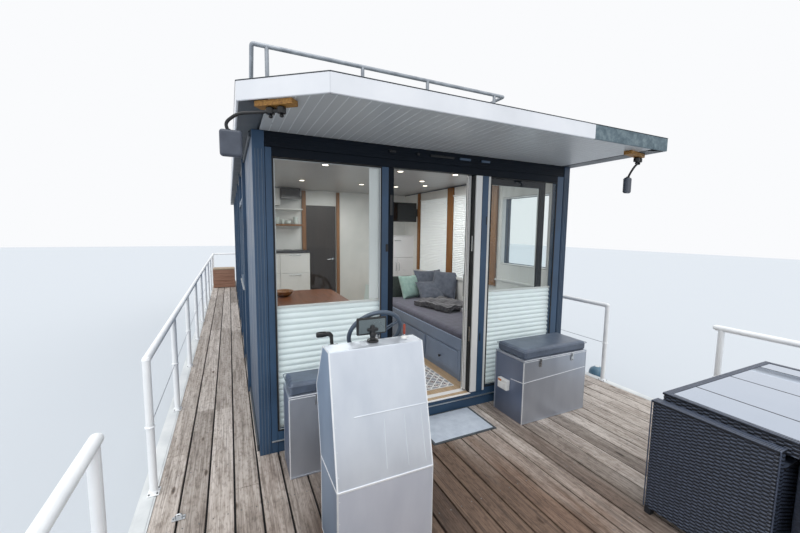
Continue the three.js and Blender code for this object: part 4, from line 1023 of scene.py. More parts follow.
def makeRailing(side, end):
    radius, top = railings["radius"], railings["top"]
    inward = 1 if side == "starboard" else -1
    corner = {"fore": -2.995, "aft": 9.895}[end]
    x = {"starboard": -0.628, "port": 3.566}[side]
    start = railings["gate"][end, side]
    gateX = railings["motorX"] - inward * railings["gateReach"][end]
    route = roundedRoute([(x, start, top), (x, corner, top), (gateX, corner, top)], railings["bend"])
    parts = Parts()
    parts.tube("railPaint", route, radius, 18)
    if end == "fore":
        posts = [(x, start - 0.04), (x, -2.02)]
    else:
        posts = [(x, y) for y in np.arange(start, 9.1, railings["aftPitch"])]
    gatePost = gateX - inward * 0.045
    sign = -1 if end == "fore" else 1
    posts += [(x, corner - sign * 0.12), ((x + gatePost) / 2, corner), (gatePost, corner)]
    for px, py in posts:
        parts.tube("railPaint", [(px, py, 0.004), (px, py, top)], radius * 0.94, 16)
        parts.turned("railPaint", [(0.0295, 0.007), (0.0245, 0.02)], (px, py, 0), sides=18)
        parts.block("railPaint", *span(px, 0.032), *span(py, 0.04), 0.0004, 0.008, 0.003)
        for dx, dy in ((-0.022, -0.029), (0.022, -0.029), (-0.022, 0.029), (0.022, 0.029)):
            parts.turned("screw", [(0.0055, 0.0), (0.0055, 0.005), (0.0025, 0.0062)],
                (px + dx, py + dy, 0.0078), sides=6)
        parts.turned("railPaint", [(radius * 0.95, 0), (radius * 1.18, 0.004), (radius * 1.18, 0.01),
            (radius * 0.95, 0.014)], (px, py, railings["wire"] - 0.007), sides=16)
    for mouth in (route[0], route[-1]):
        parts.turned("railPaint", [(0.006, -radius * 0.9), (radius * 0.8, -radius * 0.55), (radius * 1.01, 0),
            (radius * 0.8, radius * 0.55), (0.006, radius * 0.9)], mouth, sides=16)
    wire = [(x, posts[0][1], railings["wire"]), (x, corner - sign * 0.12, railings["wire"])]
    parts.tube("galvanised", wire, railings["wireRadius"], 8)
    parts.tube("galvanised", [((x + gatePost) / 2, corner, railings["wire"]),
        (gatePost, corner, railings["wire"])], railings["wireRadius"], 8)
    makePiece(f"rail_{side}_{end}", parts, replaces=(f"railing_{side}_{end}",))


for side in ("starboard", "port"):
    for end in ("fore", "aft"):
        makeRailing(side, end)
print("roof, mirrors and rails: done")


# Helm console: one folded sheet round the sides, its seams standing a little proud
console = {"x": (0.258, 0.772), "fold": 0.005, "flange": 0.008, "proud": 0.0016,
    "cornerStrips": (0.007, 0.006),
    # Ends of each crease, as (x, z)
    "creases": (((0.363, 0.737), (0.759, 0.734)), ((0.519, 0.7), (0.516, 0.47)),
        ((0.631, 0.7), (0.634, 0.46)), ((0.727, 0.712), (0.733, 0.455))),
    # Section through the console, as (y, z)
    "outline": ((-0.994, 1.053), (-1.137, 0.423), (-1.137, 0.0003), (-0.815, 0.0003), (-0.807, 0.423),
        (-0.717, 0.79), (-0.872, 1.053))}


# Outline of (u, v) points moved inwards by a distance; points run either way round
def insetOutline(points, distance):
    area = sum(a[0] * b[1] - b[0] * a[1] for a, b in zip(points, points[1:] + points[:1]))
    turn = 1 if area > 0 else -1
    edges = []
    for a, b in zip(points, points[1:] + points[:1]):
        length = math.dist(a, b)
        normal = -(b[1] - a[1]) / length * turn, (b[0] - a[0]) / length * turn
        edges.append((normal, normal[0] * a[0] + normal[1] * a[1] + distance))
    result = []
    for (n0, o0), (n1, o1) in zip(edges[-1:] + edges[:-1], edges):
        det = n0[0] * n1[1] - n0[1] * n1[0]
        result.append(((o0 * n1[1] - o1 * n0[1]) / det, (n0[0] * o1 - n1[0] * o0) / det))
    return result


def makeConsole():
    x0, x1 = console["x"]
    outline = list(console["outline"])
    proud = console["proud"]
    shell = prismShape("x", insetOutline(outline, proud), x0 + proud, x1 - proud)
    parts = Parts([(softened(shell, console["fold"], 4), "consoleSheet")])
    # Folded flanges round each side panel, in the brighter sheet: a painted highlight
    inner = insetOutline(outline, console["flange"])
    for side in (x0, x1 - proud - 0.0006):
        for i in range(len(outline)):
            j = (i + 1) % len(outline)
            quad = [outline[i], outline[j], inner[j], inner[i]]
            parts.prism("aluminiumPaintedHighlight", "x", quad, side, side + proud + 0.0006, 0.0006, 1)
    # Side panels inside the flanges, darkened as painted shade, and the foot panel below the belt
    sheet = insetOutline(outline, console["flange"] + 0.0005)
    for side in (x0 + 0.0008, x1 - 0.0025):
        parts.prism("consoleSidePaintedShade", "x", sheet, side, side + 0.0017)
    (topY, topZ), (footY, belt), backY = outline[0], outline[1], outline[3][0]
    wide, narrow = console["cornerStrips"]
    parts.add("consoleFoot", blockShape(x0 + wide, x1 - narrow, footY + 0.0006, footY + 0.0022, 0.002,
        belt - 0.006))
    # Strips folded round both front corners, and the belt seam where the foot panel is riveted on, in the
    # brighter sheet: a painted highlight
    for a, b in ((x0 + 0.0008, x0 + wide), (x1 - narrow, x1 - 0.0008)):
        for (yA, zA), (yB, zB) in (((topY, topZ - 0.004), (footY, belt)), ((footY, belt), (footY, 0.001))):
            quad = [(yA, zA), (yB, zB), (yB + 0.0022, zB), (yA + 0.0022, zA)]
            parts.prism("aluminiumPaintedHighlight", "x", quad, a, b)
    parts.block("aluminiumPaintedHighlight", x0 + 0.002, x1 - 0.002, footY - 0.0012, footY + 0.003, *span(belt, 0.005),
        0.001, 1)
    for side in (x0 - 0.0002, x1 - 0.002):
        parts.block("aluminiumPaintedHighlight", side, side + 0.0022, footY + 0.001, backY - 0.004, *span(belt, 0.005),
            0.0008, 1)
    # Faint creases pressed into the front: one across, three fainter ones down from it, drawn in a lighter
    # sheet as a painted highlight
    lean = (topY - footY) / (topZ - belt)
    for i, crease in enumerate(console["creases"]):
        ends = [(x, footY + (z - belt) * lean + 0.0014, z) for x, z in crease]
        parts.tube("consoleCreasePaintedHighlight", ends, 0.0018 if i else 0.0024, 8)
    # Rivets down both front corners, in the same lighter sheet: painted highlight
    for z in np.arange(0.05, topZ - 0.02, 0.11):
        y = footY if z < belt else footY + (z - belt) * lean
        tilt = (0, -1, 0) if z < belt else (0, -0.975, 0.221)
        for x in (x0 + 0.012, x1 - 0.009):
            parts.turned("consoleCreasePaintedHighlight", [(0.003, 0.0), (0.0026, 0.0008), (0.0012, 0.0012)],
                (x, y + 0.0002, z), tilt, 8)
    makePiece("helmConsoleShell", parts, replaces=("helm_console",), smooth=50)


makeConsole()


# Steering wheel: grey moulded rim over three pairs of spokes, square to the console's sloping back
wheel = {"x": 0.58, "down": 0.038, "off": 0.081, "rim": 0.153, "tube": 0.0125, "hub": 0.026}


def slopeFrame():
    kink, topBack = (Vector((0, y, z)) for y, z in console["outline"][5:])
    slope = (kink - topBack).normalized()
    return topBack, slope, Vector((0, -slope.z, slope.y))


def makeWheel():
    topBack, slope, axis = slopeFrame()
    foot = Vector((wheel["x"], topBack.y, topBack.z)) + slope * wheel["down"]
    centre = foot + axis * wheel["off"]
    parts = Parts([(ringShape(centre, axis, wheel["rim"], wheel["tube"] - 0.0005, 72, 14), "wheelGrip")])
    across = Vector((1, 0, 0))
    for turn in range(3):
        angle = math.pi / 2 + turn * 2 * math.pi / 3
        out = across * math.cos(angle) + axis.cross(across) * math.sin(angle)
        near = centre + out * (wheel["hub"] * 0.8) - axis * 0.01
        far = centre + out * (wheel["rim"] - 0.004)
        side = axis.cross(out) * 0.01
        for offset in (-side, side):
            route = roundedRoute([near + offset, near.lerp(far, 0.3) + offset - axis * 0.006,
                far + offset * 0.7], 0.03)
            parts.tube("wheelGrip", route, 0.0042, 10)
    parts.turned("wheelGrip", [(0.01, -0.019), (0.026, -0.015), (0.029, -0.003), (0.026, 0.005),
        (0.016, 0.009), (0.004, 0.01)], centre, axis, 32)
    parts.turned("spoke", [(0.011, -wheel["off"] + 0.0008), (0.011, -0.018)], centre, axis, 20)
    parts.turned("blackPlastic", [(0.022, -wheel["off"] + 0.0008), (0.02, -wheel["off"] + 0.012),
        (0.014, -wheel["off"] + 0.016)], centre, axis, 24)
    makePiece("helmWheel", parts, body="steering_wheel", replaces=("steering_wheel",))


makeWheel()


# Throttle box with its lever, and the chart display seen from behind on a ball bracket
helm = {"throttleX": 0.326, "throttleDown": 0.076, "box": (0.065, 0.082, 0.036), "lever": (-0.783, 1.083),
    "grip": 0.247, "ignition": (0.695, -0.927, 1.0533),
    # x from and to, y of its back, z from and to, depth
    "display": (0.432, 0.602, -0.909, 1.087, 1.181, 0.022)}


def makeHelmControls():
    topBack, slope, axis = slopeFrame()
    foot = Vector((helm["throttleX"], topBack.y, topBack.z)) + slope * helm["throttleDown"]
    width, height, depth = helm["box"]
    body = softBlock(-width / 2, width / 2, -height / 2, height / 2, 0.0006, depth, 0.01, 4)
    turn = Matrix((Vector((1, 0, 0)), slope, axis)).transposed().to_4x4()
    parts = Parts()
    parts.add("blackPlastic", movedShape(body, Matrix.Translation(foot) @ turn))
    middle = foot + axis * 0.03
    leverY, leverZ = helm["lever"]
    route = roundedRoute([middle, (helm["throttleX"], leverY, leverZ), (helm["grip"], leverY, leverZ)], 0.02)
    parts.tube("glossBlack", route, [0.0095] * 2 + [0.012] * (len(route) - 2), 14)
    knob = turnedShape([(0.012, 0.0), (0.0145, 0.004), (0.0158, 0.028), (0.0148, 0.05), (0.007, 0.055)],
        (helm["grip"] + 0.054, leverY, leverZ), (-1, 0, 0), 20)
    parts.add("glossBlack", knob)
    makePiece("throttleLever", parts, replaces=("throttle",))
    x0, x1, y, z0, z1, depth = helm["display"]
    middleX = (x0 + x1) / 2
    parts = Parts()
    parts.block("blackPlastic", x0, x1, y + 0.006, y + depth, z0, z1, 0.008, 4)
    parts.block("screen", x0 + 0.012, x1 - 0.012, y + depth - 0.002, y + depth + 0.0012, z0 + 0.014,
        z1 - 0.012, 0.001, 1)
    parts.block("displayBack", x0 + 0.01, x1 - 0.01, y + 0.001, y + 0.008, z0 + 0.01, z1 - 0.01, 0.003, 2)
    foot = console["outline"][0][1]
    parts.turned("blackPlastic", [(0.03, 0.0004), (0.032, 0.004), (0.03, 0.011), (0.018, 0.015),
        (0.014, 0.024), (0.014, 0.03)], (middleX, y - 0.004, foot), sides=28)
    parts.turned("blackPlastic", [(0.008, -0.017), (0.015, -0.011), (0.018, 0.0), (0.015, 0.011),
        (0.008, 0.017)], (middleX, y - 0.004, foot + 0.038), sides=20)
    # Clamp arm up to the display's back, its foot held by three screws
    parts.tube("blackPlastic", [(middleX, y - 0.004, foot + 0.03), (middleX, y - 0.006, foot + 0.06),
        (middleX, y + 0.003, foot + 0.085)], 0.012, 14, 0.01)
    parts.block("blackPlastic", *span(middleX, 0.03), y - 0.012, y + 0.002, foot + 0.056, foot + 0.072, 0.005,
        3)
    for dx, dy in ((-0.02, -0.012), (0.02, -0.012), (0.0, 0.018)):
        parts.turned("screw", [(0.0035, 0.0), (0.0035, 0.003), (0.002, 0.004)],
            (middleX + dx, y + dy, foot + 0.0105), sides=8)
    makePiece("chartDisplayDressed", parts, replaces=("chart_display",))
    # Ignition lock on a white plate, its key on a red cork float, and four switches on the sloping back
    spot, upright = helm["ignition"], (0, 0, 1)
    parts = Parts()
    parts.turned("switchWhite", [(0.018, 0.0004), (0.018, 0.009), (0.012, 0.015)], spot, upright, 24)
    parts.turned("spoke", [(0.007, 0.0155), (0.007, 0.02), (0.005, 0.022)], spot, upright, 16)
    parts.turned("redFloat", [(0.004, 0.0225), (0.007, 0.028), (0.007, 0.074), (0.004, 0.08)], spot,
        upright, 16)
    for number in range(4):
        place = Vector((0.343 + 0.038 * number, topBack.y, topBack.z)) + slope * 0.17
        parts.turned("blackPlastic", [(0.012, 0.0004), (0.012, 0.004), (0.007, 0.005), (0.006, 0.011)],
            place, axis, 16)
    makePiece("switchPanel", parts)


makeHelmControls()
print("helm: done")


# Box seats: cross-broken aluminium boxes with folded edges brightened as a painted highlight and side panels
# darkened as painted shade, overlapping lids and two clasps each
locker = {"edge": 0.007, "fold": 0.004, "proud": 0.0015, "crease": 0.385, "claspInset": 0.185,
    "clasp": 0.527}


def makeLocker(side):
    low, high = nodeBox(f"locker_{side}")
    wall, proud, edge = 0.012, locker["proud"], locker["edge"]
    within = wall + 0.0003
    parts = Parts()
    # Front and back in the plain sheet, the two side panels in a darker sheet: painted shade
    for kind, x0, x1, y0, y1 in (
            ("aluminium", low.x + proud, high.x - proud, low.y + proud, low.y + wall),
            ("aluminium", low.x + proud, high.x - proud, high.y - wall, high.y - 0.0005),
            ("lockerSidePaintedShade", low.x + proud, low.x + wall, low.y + within, high.y - within),
            ("lockerSidePaintedShade", high.x - wall, high.x - proud, low.y + within, high.y - within)):
        parts.block(kind, x0, x1, y0, y1, low.z, high.z - 0.001, locker["fold"], 3)
    parts.add("aluminium", blockShape(low.x + within, high.x - within, low.y + within, high.y - within,
        low.z, low.z + wall))
    # Folded strips, upright at the four corners; the two at the front left corner in the brighter sheet, a
    # painted highlight
    for x, y0, y1, wide, kind in ((low.x, low.y, low.y + 0.003, edge, "aluminiumPaintedHighlight"),
            (high.x - edge, low.y, low.y + 0.003, edge, "aluminium"),
            (low.x, low.y + 0.001, low.y + edge, 0.003, "aluminiumPaintedHighlight"),
            (low.x, high.y - edge, high.y - 0.001, 0.003, "aluminium"),
            (high.x - 0.003, low.y + 0.001, low.y + edge, 0.003, "aluminium"),
            (high.x - 0.003, high.y - edge, high.y - 0.001, 0.003, "aluminium")):
        parts.block(kind, x, x + wide, y0, y1, low.z, high.z - 0.002, 0.001, 2)
    # Foot flange, and the belt crease that stiffens the port box's panels in the brighter sheet, a painted
    # highlight
    parts.block("aluminium", low.x + edge, high.x - edge, low.y - 0.0002, low.y + 0.003, low.z, low.z + 0.012,
        0.001, 1)
    if side == "port":
        crease, fall, line = locker["crease"], 0.018, 0.0025
        front = "y", low.x + edge, low.y, high.x - edge, (fall - line, fall + line)
        flank = "x", low.y + edge, low.x, -0.310, (-0.034, -0.029)
        for axis, start, face, end, rise in (front, flank):
            belt = [(start, crease - fall - line), (end, crease + rise[0]), (end, crease + rise[1]),
                (start, crease - fall + line)]
            parts.prism("aluminiumPaintedHighlight", axis, belt, face - 0.0008, face + 0.002)
    makePiece(f"lockerBox_{side}", parts, replaces=(f"locker_{side}",))
    # Lid: a shallow tray with a rounded front lip, two bright strips along it as a painted highlight, and the
    # moving half of each clasp
    lidLow, lidHigh = nodeBox(f"locker_lid_{side}")
    parts = Parts()
    parts.block("aluminium", lidLow.x, lidHigh.x, lidLow.y, lidHigh.y, lidLow.z, lidHigh.z, 0.004, 3)
    for z0, z1 in ((lidLow.z + 0.001, lidLow.z + 0.005), (lidHigh.z - 0.005, lidHigh.z - 0.001)):
        parts.block("aluminiumPaintedHighlight", lidLow.x + 0.002, lidHigh.x - 0.002, lidLow.y - 0.0016, lidLow.y + 0.003,
            z0, z1, 0.001, 1)
    claspZ = locker["clasp"]
    clasps = Parts()
    for x in (low.x + locker["claspInset"], high.x - locker["claspInset"]):
        parts.block("spoke", *span(x, 0.014), lidLow.y - 0.0055, lidLow.y - 0.0005, claspZ + 0.002,
            lidHigh.z - 0.003, 0.0015)
        parts.block("spoke", *span(x, 0.010), lidLow.y - 0.0085, lidLow.y - 0.0052, claspZ + 0.004,
            claspZ + 0.026, 0.0012)
        clasps.block("spoke", *span(x, 0.016), low.y - 0.0050, low.y - 0.0004, claspZ - 0.040, claspZ - 0.001,
            0.0015)
        clasps.turned("screw", [(0.0045, 0.0), (0.0045, 0.004), (0.0020, 0.005)],
            (x, low.y - 0.0052, claspZ - 0.028), (0, -1, 0), 8)
    makePiece(f"lockerLid_{side}", parts, body=f"locker_lid_{side}",
        replaces=(f"locker_lid_{side}",))
    makePiece(f"lockerClasps_{side}", clasps)


for side in ("starboard", "port"):
    makeLocker(side)


# Padded pieces: a block shrunk a little, remeshed, blown up as cloth, then capped and smoothed
padding = {"shrink": 0.006, "voxel": 0.008, "pressure": 4.0, "frames": 20}


def inflate(piece, capMm, voxel):
    remesh = piece.modifiers.new("remesh", "REMESH")
    remesh.mode = "VOXEL"
    remesh.voxel_size = voxel
    applyModifier(piece, remesh.name)
    start = np.array([tuple(vert.co) for vert in piece.data.vertices])
    cloth = piece.modifiers.new("cloth", "CLOTH")
    cloth.settings.use_pressure = True
    cloth.settings.uniform_pressure_force = padding["pressure"]
    cloth.settings.effector_weights.gravity = 0
    cloth.settings.quality = 5
    scene = bpy.context.scene
    for number in range(1, padding["frames"] + 1):
        scene.frame_set(number)
    evaluated = piece.evaluated_get(bpy.context.evaluated_depsgraph_get())
    swollen = np.array([tuple(vert.co) for vert in evaluated.data.vertices])
    piece.modifiers.remove(cloth)
    scene.frame_set(1)
    shift = swollen - start
    length = np.linalg.norm(shift, axis=1, keepdims=True)
    cap = capMm / 1000
    shift *= np.minimum(1.0, cap / np.maximum(length, 1e-9))
    return start + shift


def applyModifier(piece, name):
    bpy.context.view_layer.objects.active = piece
    piece.select_set(True)
    bpy.ops.object.modifier_apply(modifier=name)
    piece.select_set(False)


# Flattens the underside, keeps the points inside a box and rounds the mesh once more
def finishPad(piece, points, low, high):
    low, high = low + datum, high + datum
    points = np.clip(points, np.array(low), np.array(high))
    piece.data.vertices.foreach_set("co", points.astype(np.float32).ravel())
    piece.data.update()
    rounder = piece.modifiers.new("rounder", "SUBSURF")
    rounder.levels = rounder.render_levels = 1
    applyModifier(piece, rounder.name)
    piece.data.shade_smooth()


def makePad(name, low, high, kind, body="root", replaces=(), capMm=9, voxel=None, ease=0.02):
    shrink = padding["shrink"]
    a, b = low + Vector((shrink,) * 3), high - Vector((shrink,) * 3)
    a.z = low.z + 0.0005
    shape = softBlock(a.x, b.x, a.y, b.y, a.z, b.z, ease, 4)
    piece = makePiece(name, [(shape, kind)], body, replaces, smooth=None)
    points = inflate(piece, capMm, voxel or padding["voxel"])
    finishPad(piece, points, low, high)
    return piece


# Locker cushions: foam in leatherette with a piped seam round the upper edge
def makeLockerCushions():
    for side in ("starboard", "port"):
        low, high = nodeBox(f"cushion_{side}")
        high.z += 0.025
        makePad(f"lockerCushion_{side}", low, high, "vinyl", body=f"locker_lid_{side}",
            replaces=(f"cushion_{side}",), capMm=10, ease=0.018)
        z = high.z - 0.016
        inset = 0.0035
        loop = [(low.x + inset, low.y + inset, z), (high.x - inset, low.y + inset, z),
            (high.x - inset, high.y - inset, z), (low.x + inset, high.y - inset, z)]
        ring = roundedRoute([tuple((Vector(loop[0]) + Vector(loop[1])) / 2), *loop[1:], loop[0],
            tuple((Vector(loop[0]) + Vector(loop[1])) / 2 - Vector((0.002, 0, 0)))], 0.018, 5)
        makePiece(f"lockerCushionPiping_{side}", [(tubeShape(ring, 0.0026, 8), "vinyl")],
            body=f"locker_lid_{side}")


makeLockerCushions()


# Socket with an orange cap on the port box seat's side
def makeSocket():
    low = nodeBox("locker_port")[0]
    parts = Parts()
    parts.block("switchWhite", low.x - 0.042, low.x - 0.0013, -0.305, -0.189, 0.244, 0.335, 0.006, 3)
    parts.block("whiteLacquer", low.x - 0.046, low.x - 0.0415, -0.297, -0.198, 0.252, 0.306, 0.003)
    parts.block("orange", low.x - 0.045, low.x - 0.0415, -0.24, -0.198, 0.311, 0.33, 0.002)
    makePiece("shoreSocket", parts)


makeSocket()


# Door mat in front of the doorway: needled field in a rubber border
mat = {"x": (1.24, 1.8), "y": (-0.39, -0.02), "thickness": 0.007, "border": 0.022}


def makeDoormat():
    (x0, x1), (y0, y1), border = mat["x"], mat["y"], mat["border"]
    field = Parts()
    field.block("mat", x0, x1, y0, y1, 0.0006, mat["thickness"], 0.002)
    piece = makePiece("doormatField", field, smooth=None)
    rim = Parts()
    foot, back = y0 - border, y1 + border * 0.8
    for sizes in ((x0 - border, x0 - 0.0005, foot, back), (x1 + 0.0005, x1 + border, foot, back),
            (x0, x1, foot, y0 - 0.0005), (x0, x1, y1 + 0.0005, back)):
        rim.block("matBorder", *sizes, 0.0006, 0.006, 0.002)
    makePiece("doormatBorder", rim)


makeDoormat()


# Poly-rattan: strands woven over upright ribs, as a wall that follows a path in plan
weave = {"rib": 0.026, "row": 0.0092, "bulge": 0.006, "wall": 0.02, "corner": 0.01, "cornerSteps": 4}


# Even spots along a route with their outward directions in plan
def evenSpots(route, spacing):
    lengths = [0.0]
    for a, b in zip(route, route[1:]):
        lengths.append(lengths[-1] + (b - a).length)
    count = max(2, round(lengths[-1] / spacing))
    spots, index = [], 0
    for i in range(count + 1):
        target = lengths[-1] * i / count
        while index < len(route) - 2 and lengths[index + 1] < target:
            index += 1
        share = (target - lengths[index]) / max(lengths[index + 1] - lengths[index], 1e-9)
        spots.append(route[index].lerp(route[index + 1], min(1.0, share)))
    outs = []
    for i in range(len(spots)):
        along = spots[min(i + 1, len(spots) - 1)] - spots[max(i - 1, 0)]
        outs.append(Vector((along.y, -along.x, 0)).normalized())
    return spots, outs


# How far a strand stands out at a spot of the weave
def strandLift(column, row):
    if row % 2 == 0:
        return 0.0
    across = (column // 2 + row // 2) % 2
    return (1.0 if column % 2 else 0.55) if across else 0.3 if column % 2 else 0.55


# Woven wall as one part: path in plan (outside to the right of its run), from z0 to z1, closed by a plain
# skin; where a strand dives under a rib its faces, and the skin, get a darker colour: painted shade
def wovenWall(path, z0, z1, thickness=None):
    thickness = thickness or weave["wall"]
    route = roundedRoute([(x, y, 0.0) for x, y in path], weave["corner"], weave["cornerSteps"])
    spots, outs = evenSpots(route, weave["rib"] / 2)
    rows = max(1, round((z1 - z0) / weave["row"])) * 2
    points, faces, kinds = [], [], []
    for i, (spot, out) in enumerate(zip(spots, outs)):
        for j in range(rows + 1):
            lift = strandLift(i, j) * weave["bulge"] - weave["bulge"]
            place = spot + out * lift
            points.append((place.x, place.y, z0 + (z1 - z0) * j / rows))
    tall = rows + 1
    count = len(spots)
    for i in range(count - 1):
        for j in range(rows):
            a = i * tall + j
            faces.append((a, a + tall, a + tall + 1, a + 1))
            over = max(strandLift(column, row) for column in (i, i + 1) for row in (j, j + 1)) > 0.9
            kinds.append("rattan" if over else "rattanPaintedShade")
    base = len(points)
    for spot, out in zip(spots, outs):
        place = spot - out * thickness
        points.extend([(place.x, place.y, z0), (place.x, place.y, z1)])
    for i in range(count - 1):
        a = base + 2 * i
        faces.append((a, a + 1, a + 3, a + 2))
        faces.append((i * tall, a, a + 2, (i + 1) * tall))
        faces.append((i * tall + rows, (i + 1) * tall + rows, a + 3, a + 1))
    for i in (0, count - 1):
        column = [i * tall + j for j in range(tall)]
        faces.append(tuple(column + [base + 2 * i + 1, base + 2 * i]))
    return (points, faces), kinds + ["rattanPaintedShade"] * (len(faces) - len(kinds))


# Flat rim: strands side by side across a board in painted shade, in rows along x or y
def wovenBand(x0, x1, y0, y1, z, along):
    parts = Parts()
    parts.block("rattanPaintedShade", x0, x1, y0, y1, z - 0.012, z - 0.003, 0.001, 1)
    start, end = (x0, x1) if along == "x" else (y0, y1)
    count = max(1, round((end - start) / weave["row"]))
    step = (end - start) / count
    for i in range(count):
        a, b = start + i * step + 0.0006, start + (i + 1) * step - 0.0006
        strand = (a, b, y0, y1) if along == "x" else (x0, x1, a, b)
        parts.block("rattanTop", *strand, z - 0.004, z, 0.001, 1)
    return parts


dining = {"rim": 0.036, "seatZ": (0.3, 0.38), "legSize": 0.036, "apron": 0.075, "crossBar": 0.014,
    "joints": (2.38, 2.78, 3.18)}


def makeChair(name):
    low, high = nodeBox(f"dining_chair_{name}")
    opensPort = "starboard" in name
    outer, inner = (low.x, high.x) if opensPort else (high.x, low.x)
    sign = 1 if opensPort else -1
    y0, y1 = low.y, high.y
    backTop, armTop = 0.69, 0.6
    cap, side = 0.01, 0.046
    foot = 0.04
    inset = weave["bulge"] * 0.4
    backReach = outer + sign * 0.062
    parts = Parts()
    for path, upper in (([(backReach, y1 - inset), (outer + sign * inset, y1 - inset),
            (outer + sign * inset, y0 + inset), (backReach, y0 + inset)], backTop - cap),
            ([(inner - sign * 0.006, y1 - inset), (backReach + sign * 0.0004, y1 - inset)], armTop - cap),
            ([(backReach + sign * 0.0004, y0 + inset), (inner - sign * 0.006, y0 + inset)], armTop - cap)):
        parts.append(wovenWall(path if opensPort else path[::-1], foot, upper))
    # Flat woven tops of the back and the arms
    x0, x1 = sorted((outer + sign * 0.001, backReach))
    parts += wovenBand(x0, x1, y0 + 0.001, y1 - 0.001, backTop, "y")
    x0, x1 = sorted((backReach + sign * 0.0005, inner - sign * 0.004))
    for a, b in ((y0 + 0.001, y0 + side), (y1 - side, y1 - 0.001)):
        parts += wovenBand(x0, x1, a, b, armTop, "x")
    # Plain strand bound up both corners of the back
    for y in (y0, y1 - 0.006):
        a, b = sorted((outer, outer + sign * 0.006))
        parts.block("rattan", a, b, y, y + 0.006, foot, backTop - 0.001, 0.002)
    # Inner faces of the back and arms
    rear, fore = outer + sign * 0.052, inner - sign * 0.006
    seat0, seat1 = dining["seatZ"]
    for facing, top in (([(rear, y0 + side), (rear, y1 - side)], backTop - 0.013),
            ([(fore, y0 + side), (rear, y0 + side)], armTop - 0.013),
            ([(rear, y1 - side), (fore, y1 - side)], armTop - 0.013)):
        parts.append(wovenWall(facing if opensPort else facing[::-1], seat1, top, 0.024))
    # Core of the seat under the strands, in painted shade
    a, b = sorted((rear, inner - sign * 0.004))
    parts.block("rattanPaintedShade", a, b, y0 + side, y1 - side, seat0, seat1, 0.012, 3)
    # Flat strands across the seat
    slats = weave["row"] * 2
    x, end = sorted((outer + sign * 0.06, inner - sign * 0.012))
    while x < end - slats:
        parts.block("rattan", x, x + slats * 0.86, y0 + 0.05, y1 - 0.05, seat1 - 0.001, seat1 + 0.003, 0.0028,
            2)
        x += slats
    leg = dining["legSize"]
    for x in (outer + sign * 0.006, inner - sign * (0.006 + leg)):
        for y in (y0 + 0.006, y1 - 0.006 - leg):
            a, b = sorted((x, x + sign * leg))
            parts.block("tableFrame", a, b, y, y + leg, 0.0006, foot + 0.02, 0.004)
    makePiece(f"rattanChair_{name}", parts, replaces=(f"dining_chair_{name}",), smooth=60)


def makeDiningTable():
    low, high = nodeBox("dining_table")
    top = high.z
    rim = dining["rim"]
    x0, x1, y0, y1 = low.x, high.x, low.y, high.y
    middle = (x0 + x1) / 2
    apron = top - dining["apron"]
    path = [(middle, y1), (x0, y1), (x0, y0), (x1, y0), (x1, y1), (middle - 0.001, y1)]
    parts = Parts([wovenWall(path, apron, top - 0.01)])
    edge = 0.001
    for a, b in ((y0 + edge, y0 + rim), (y1 - rim, y1 - edge)):
        parts += wovenBand(x0 + edge, x1 - edge, a, b, top, "x")
    for a, b in ((x0 + edge, x0 + rim), (x1 - rim, x1 - edge)):
        parts += wovenBand(a, b, y0 + rim + 0.0005, y1 - rim - 0.0005, top, "y")
    inner, bar, tube = rim + 0.004, dining["crossBar"], 0.03
    left, right, near, far = x0 + inner, x1 - inner, y0 + inner, y1 - inner
    parts.block("tableFrame", left, right, near, far, apron + 0.012, apron + 0.018, 0.002, 1)
    for share in (0.33, 0.67):
        x = x0 + (x1 - x0) * share
        y = y0 + (y1 - y0) * share
        parts.block("tableFrame", *span(x, bar), near, far, top - 0.04, top - 0.012, 0.004)
        parts.block("tableFrame", left, right, *span(y, bar), top - 0.041, top - 0.013, 0.004)
    for sizes in ((left, right, near, near + tube), (left, right, far - tube, far),
            (left, left + tube, near + tube, far - tube), (right - tube, right, near + tube, far - tube)):
        parts.block("tableFrame", *sizes, top - 0.038, top - 0.0095, 0.003)
    # Spine of legs between the tucked chairs
    spine = (y0 + y1) / 2
    for x in np.linspace(x0 + 0.075, x1 - 0.075, 3):
        parts.block("rattan", *span(x, 0.024), *span(spine, 0.024), 0.0006, apron + 0.02, 0.006, 2)
    parts.block("tableFrame", x0 + 0.075, x1 - 0.075, *span(spine, 0.014), 0.1, 0.13, 0.004)
    makePiece("rattanTable", parts, replaces=("dining_table",), smooth=60)
    # Glass panes with dark bars between them
    cuts = [x0 + rim + 0.001, *dining["joints"], x1 - rim - 0.001]
    panes, bars = Parts(), Parts()
    for a, b in zip(cuts, cuts[1:]):
        panes.block("tableGlass", a + 0.0045, b - 0.0045, y0 + rim + 0.001, y1 - rim - 0.001, top - 0.0085,
            top - 0.0025, 0.001, 1)
        if b < cuts[-1]:
            bars.block("tableFrame", *span(b, 0.004), y0 + rim + 0.001, y1 - rim - 0.001, top - 0.0085,
                top - 0.0015, 0.001, 1)
    makePiece("tableGlassTop", panes, smooth=None)
    makePiece("tableBars", bars, smooth=None)


makeDiningTable()
for name in ("starboard_aft", "starboard_fore", "port_aft", "port_fore"):
    makeChair(name)
print("dining set: done")


# Fender: ribbed blue body with white ends, beside the port edge of the deck
fender = {"x": 3.712, "y": 0.06, "radius": 0.087, "top": 0.078, "bottom": -0.64}


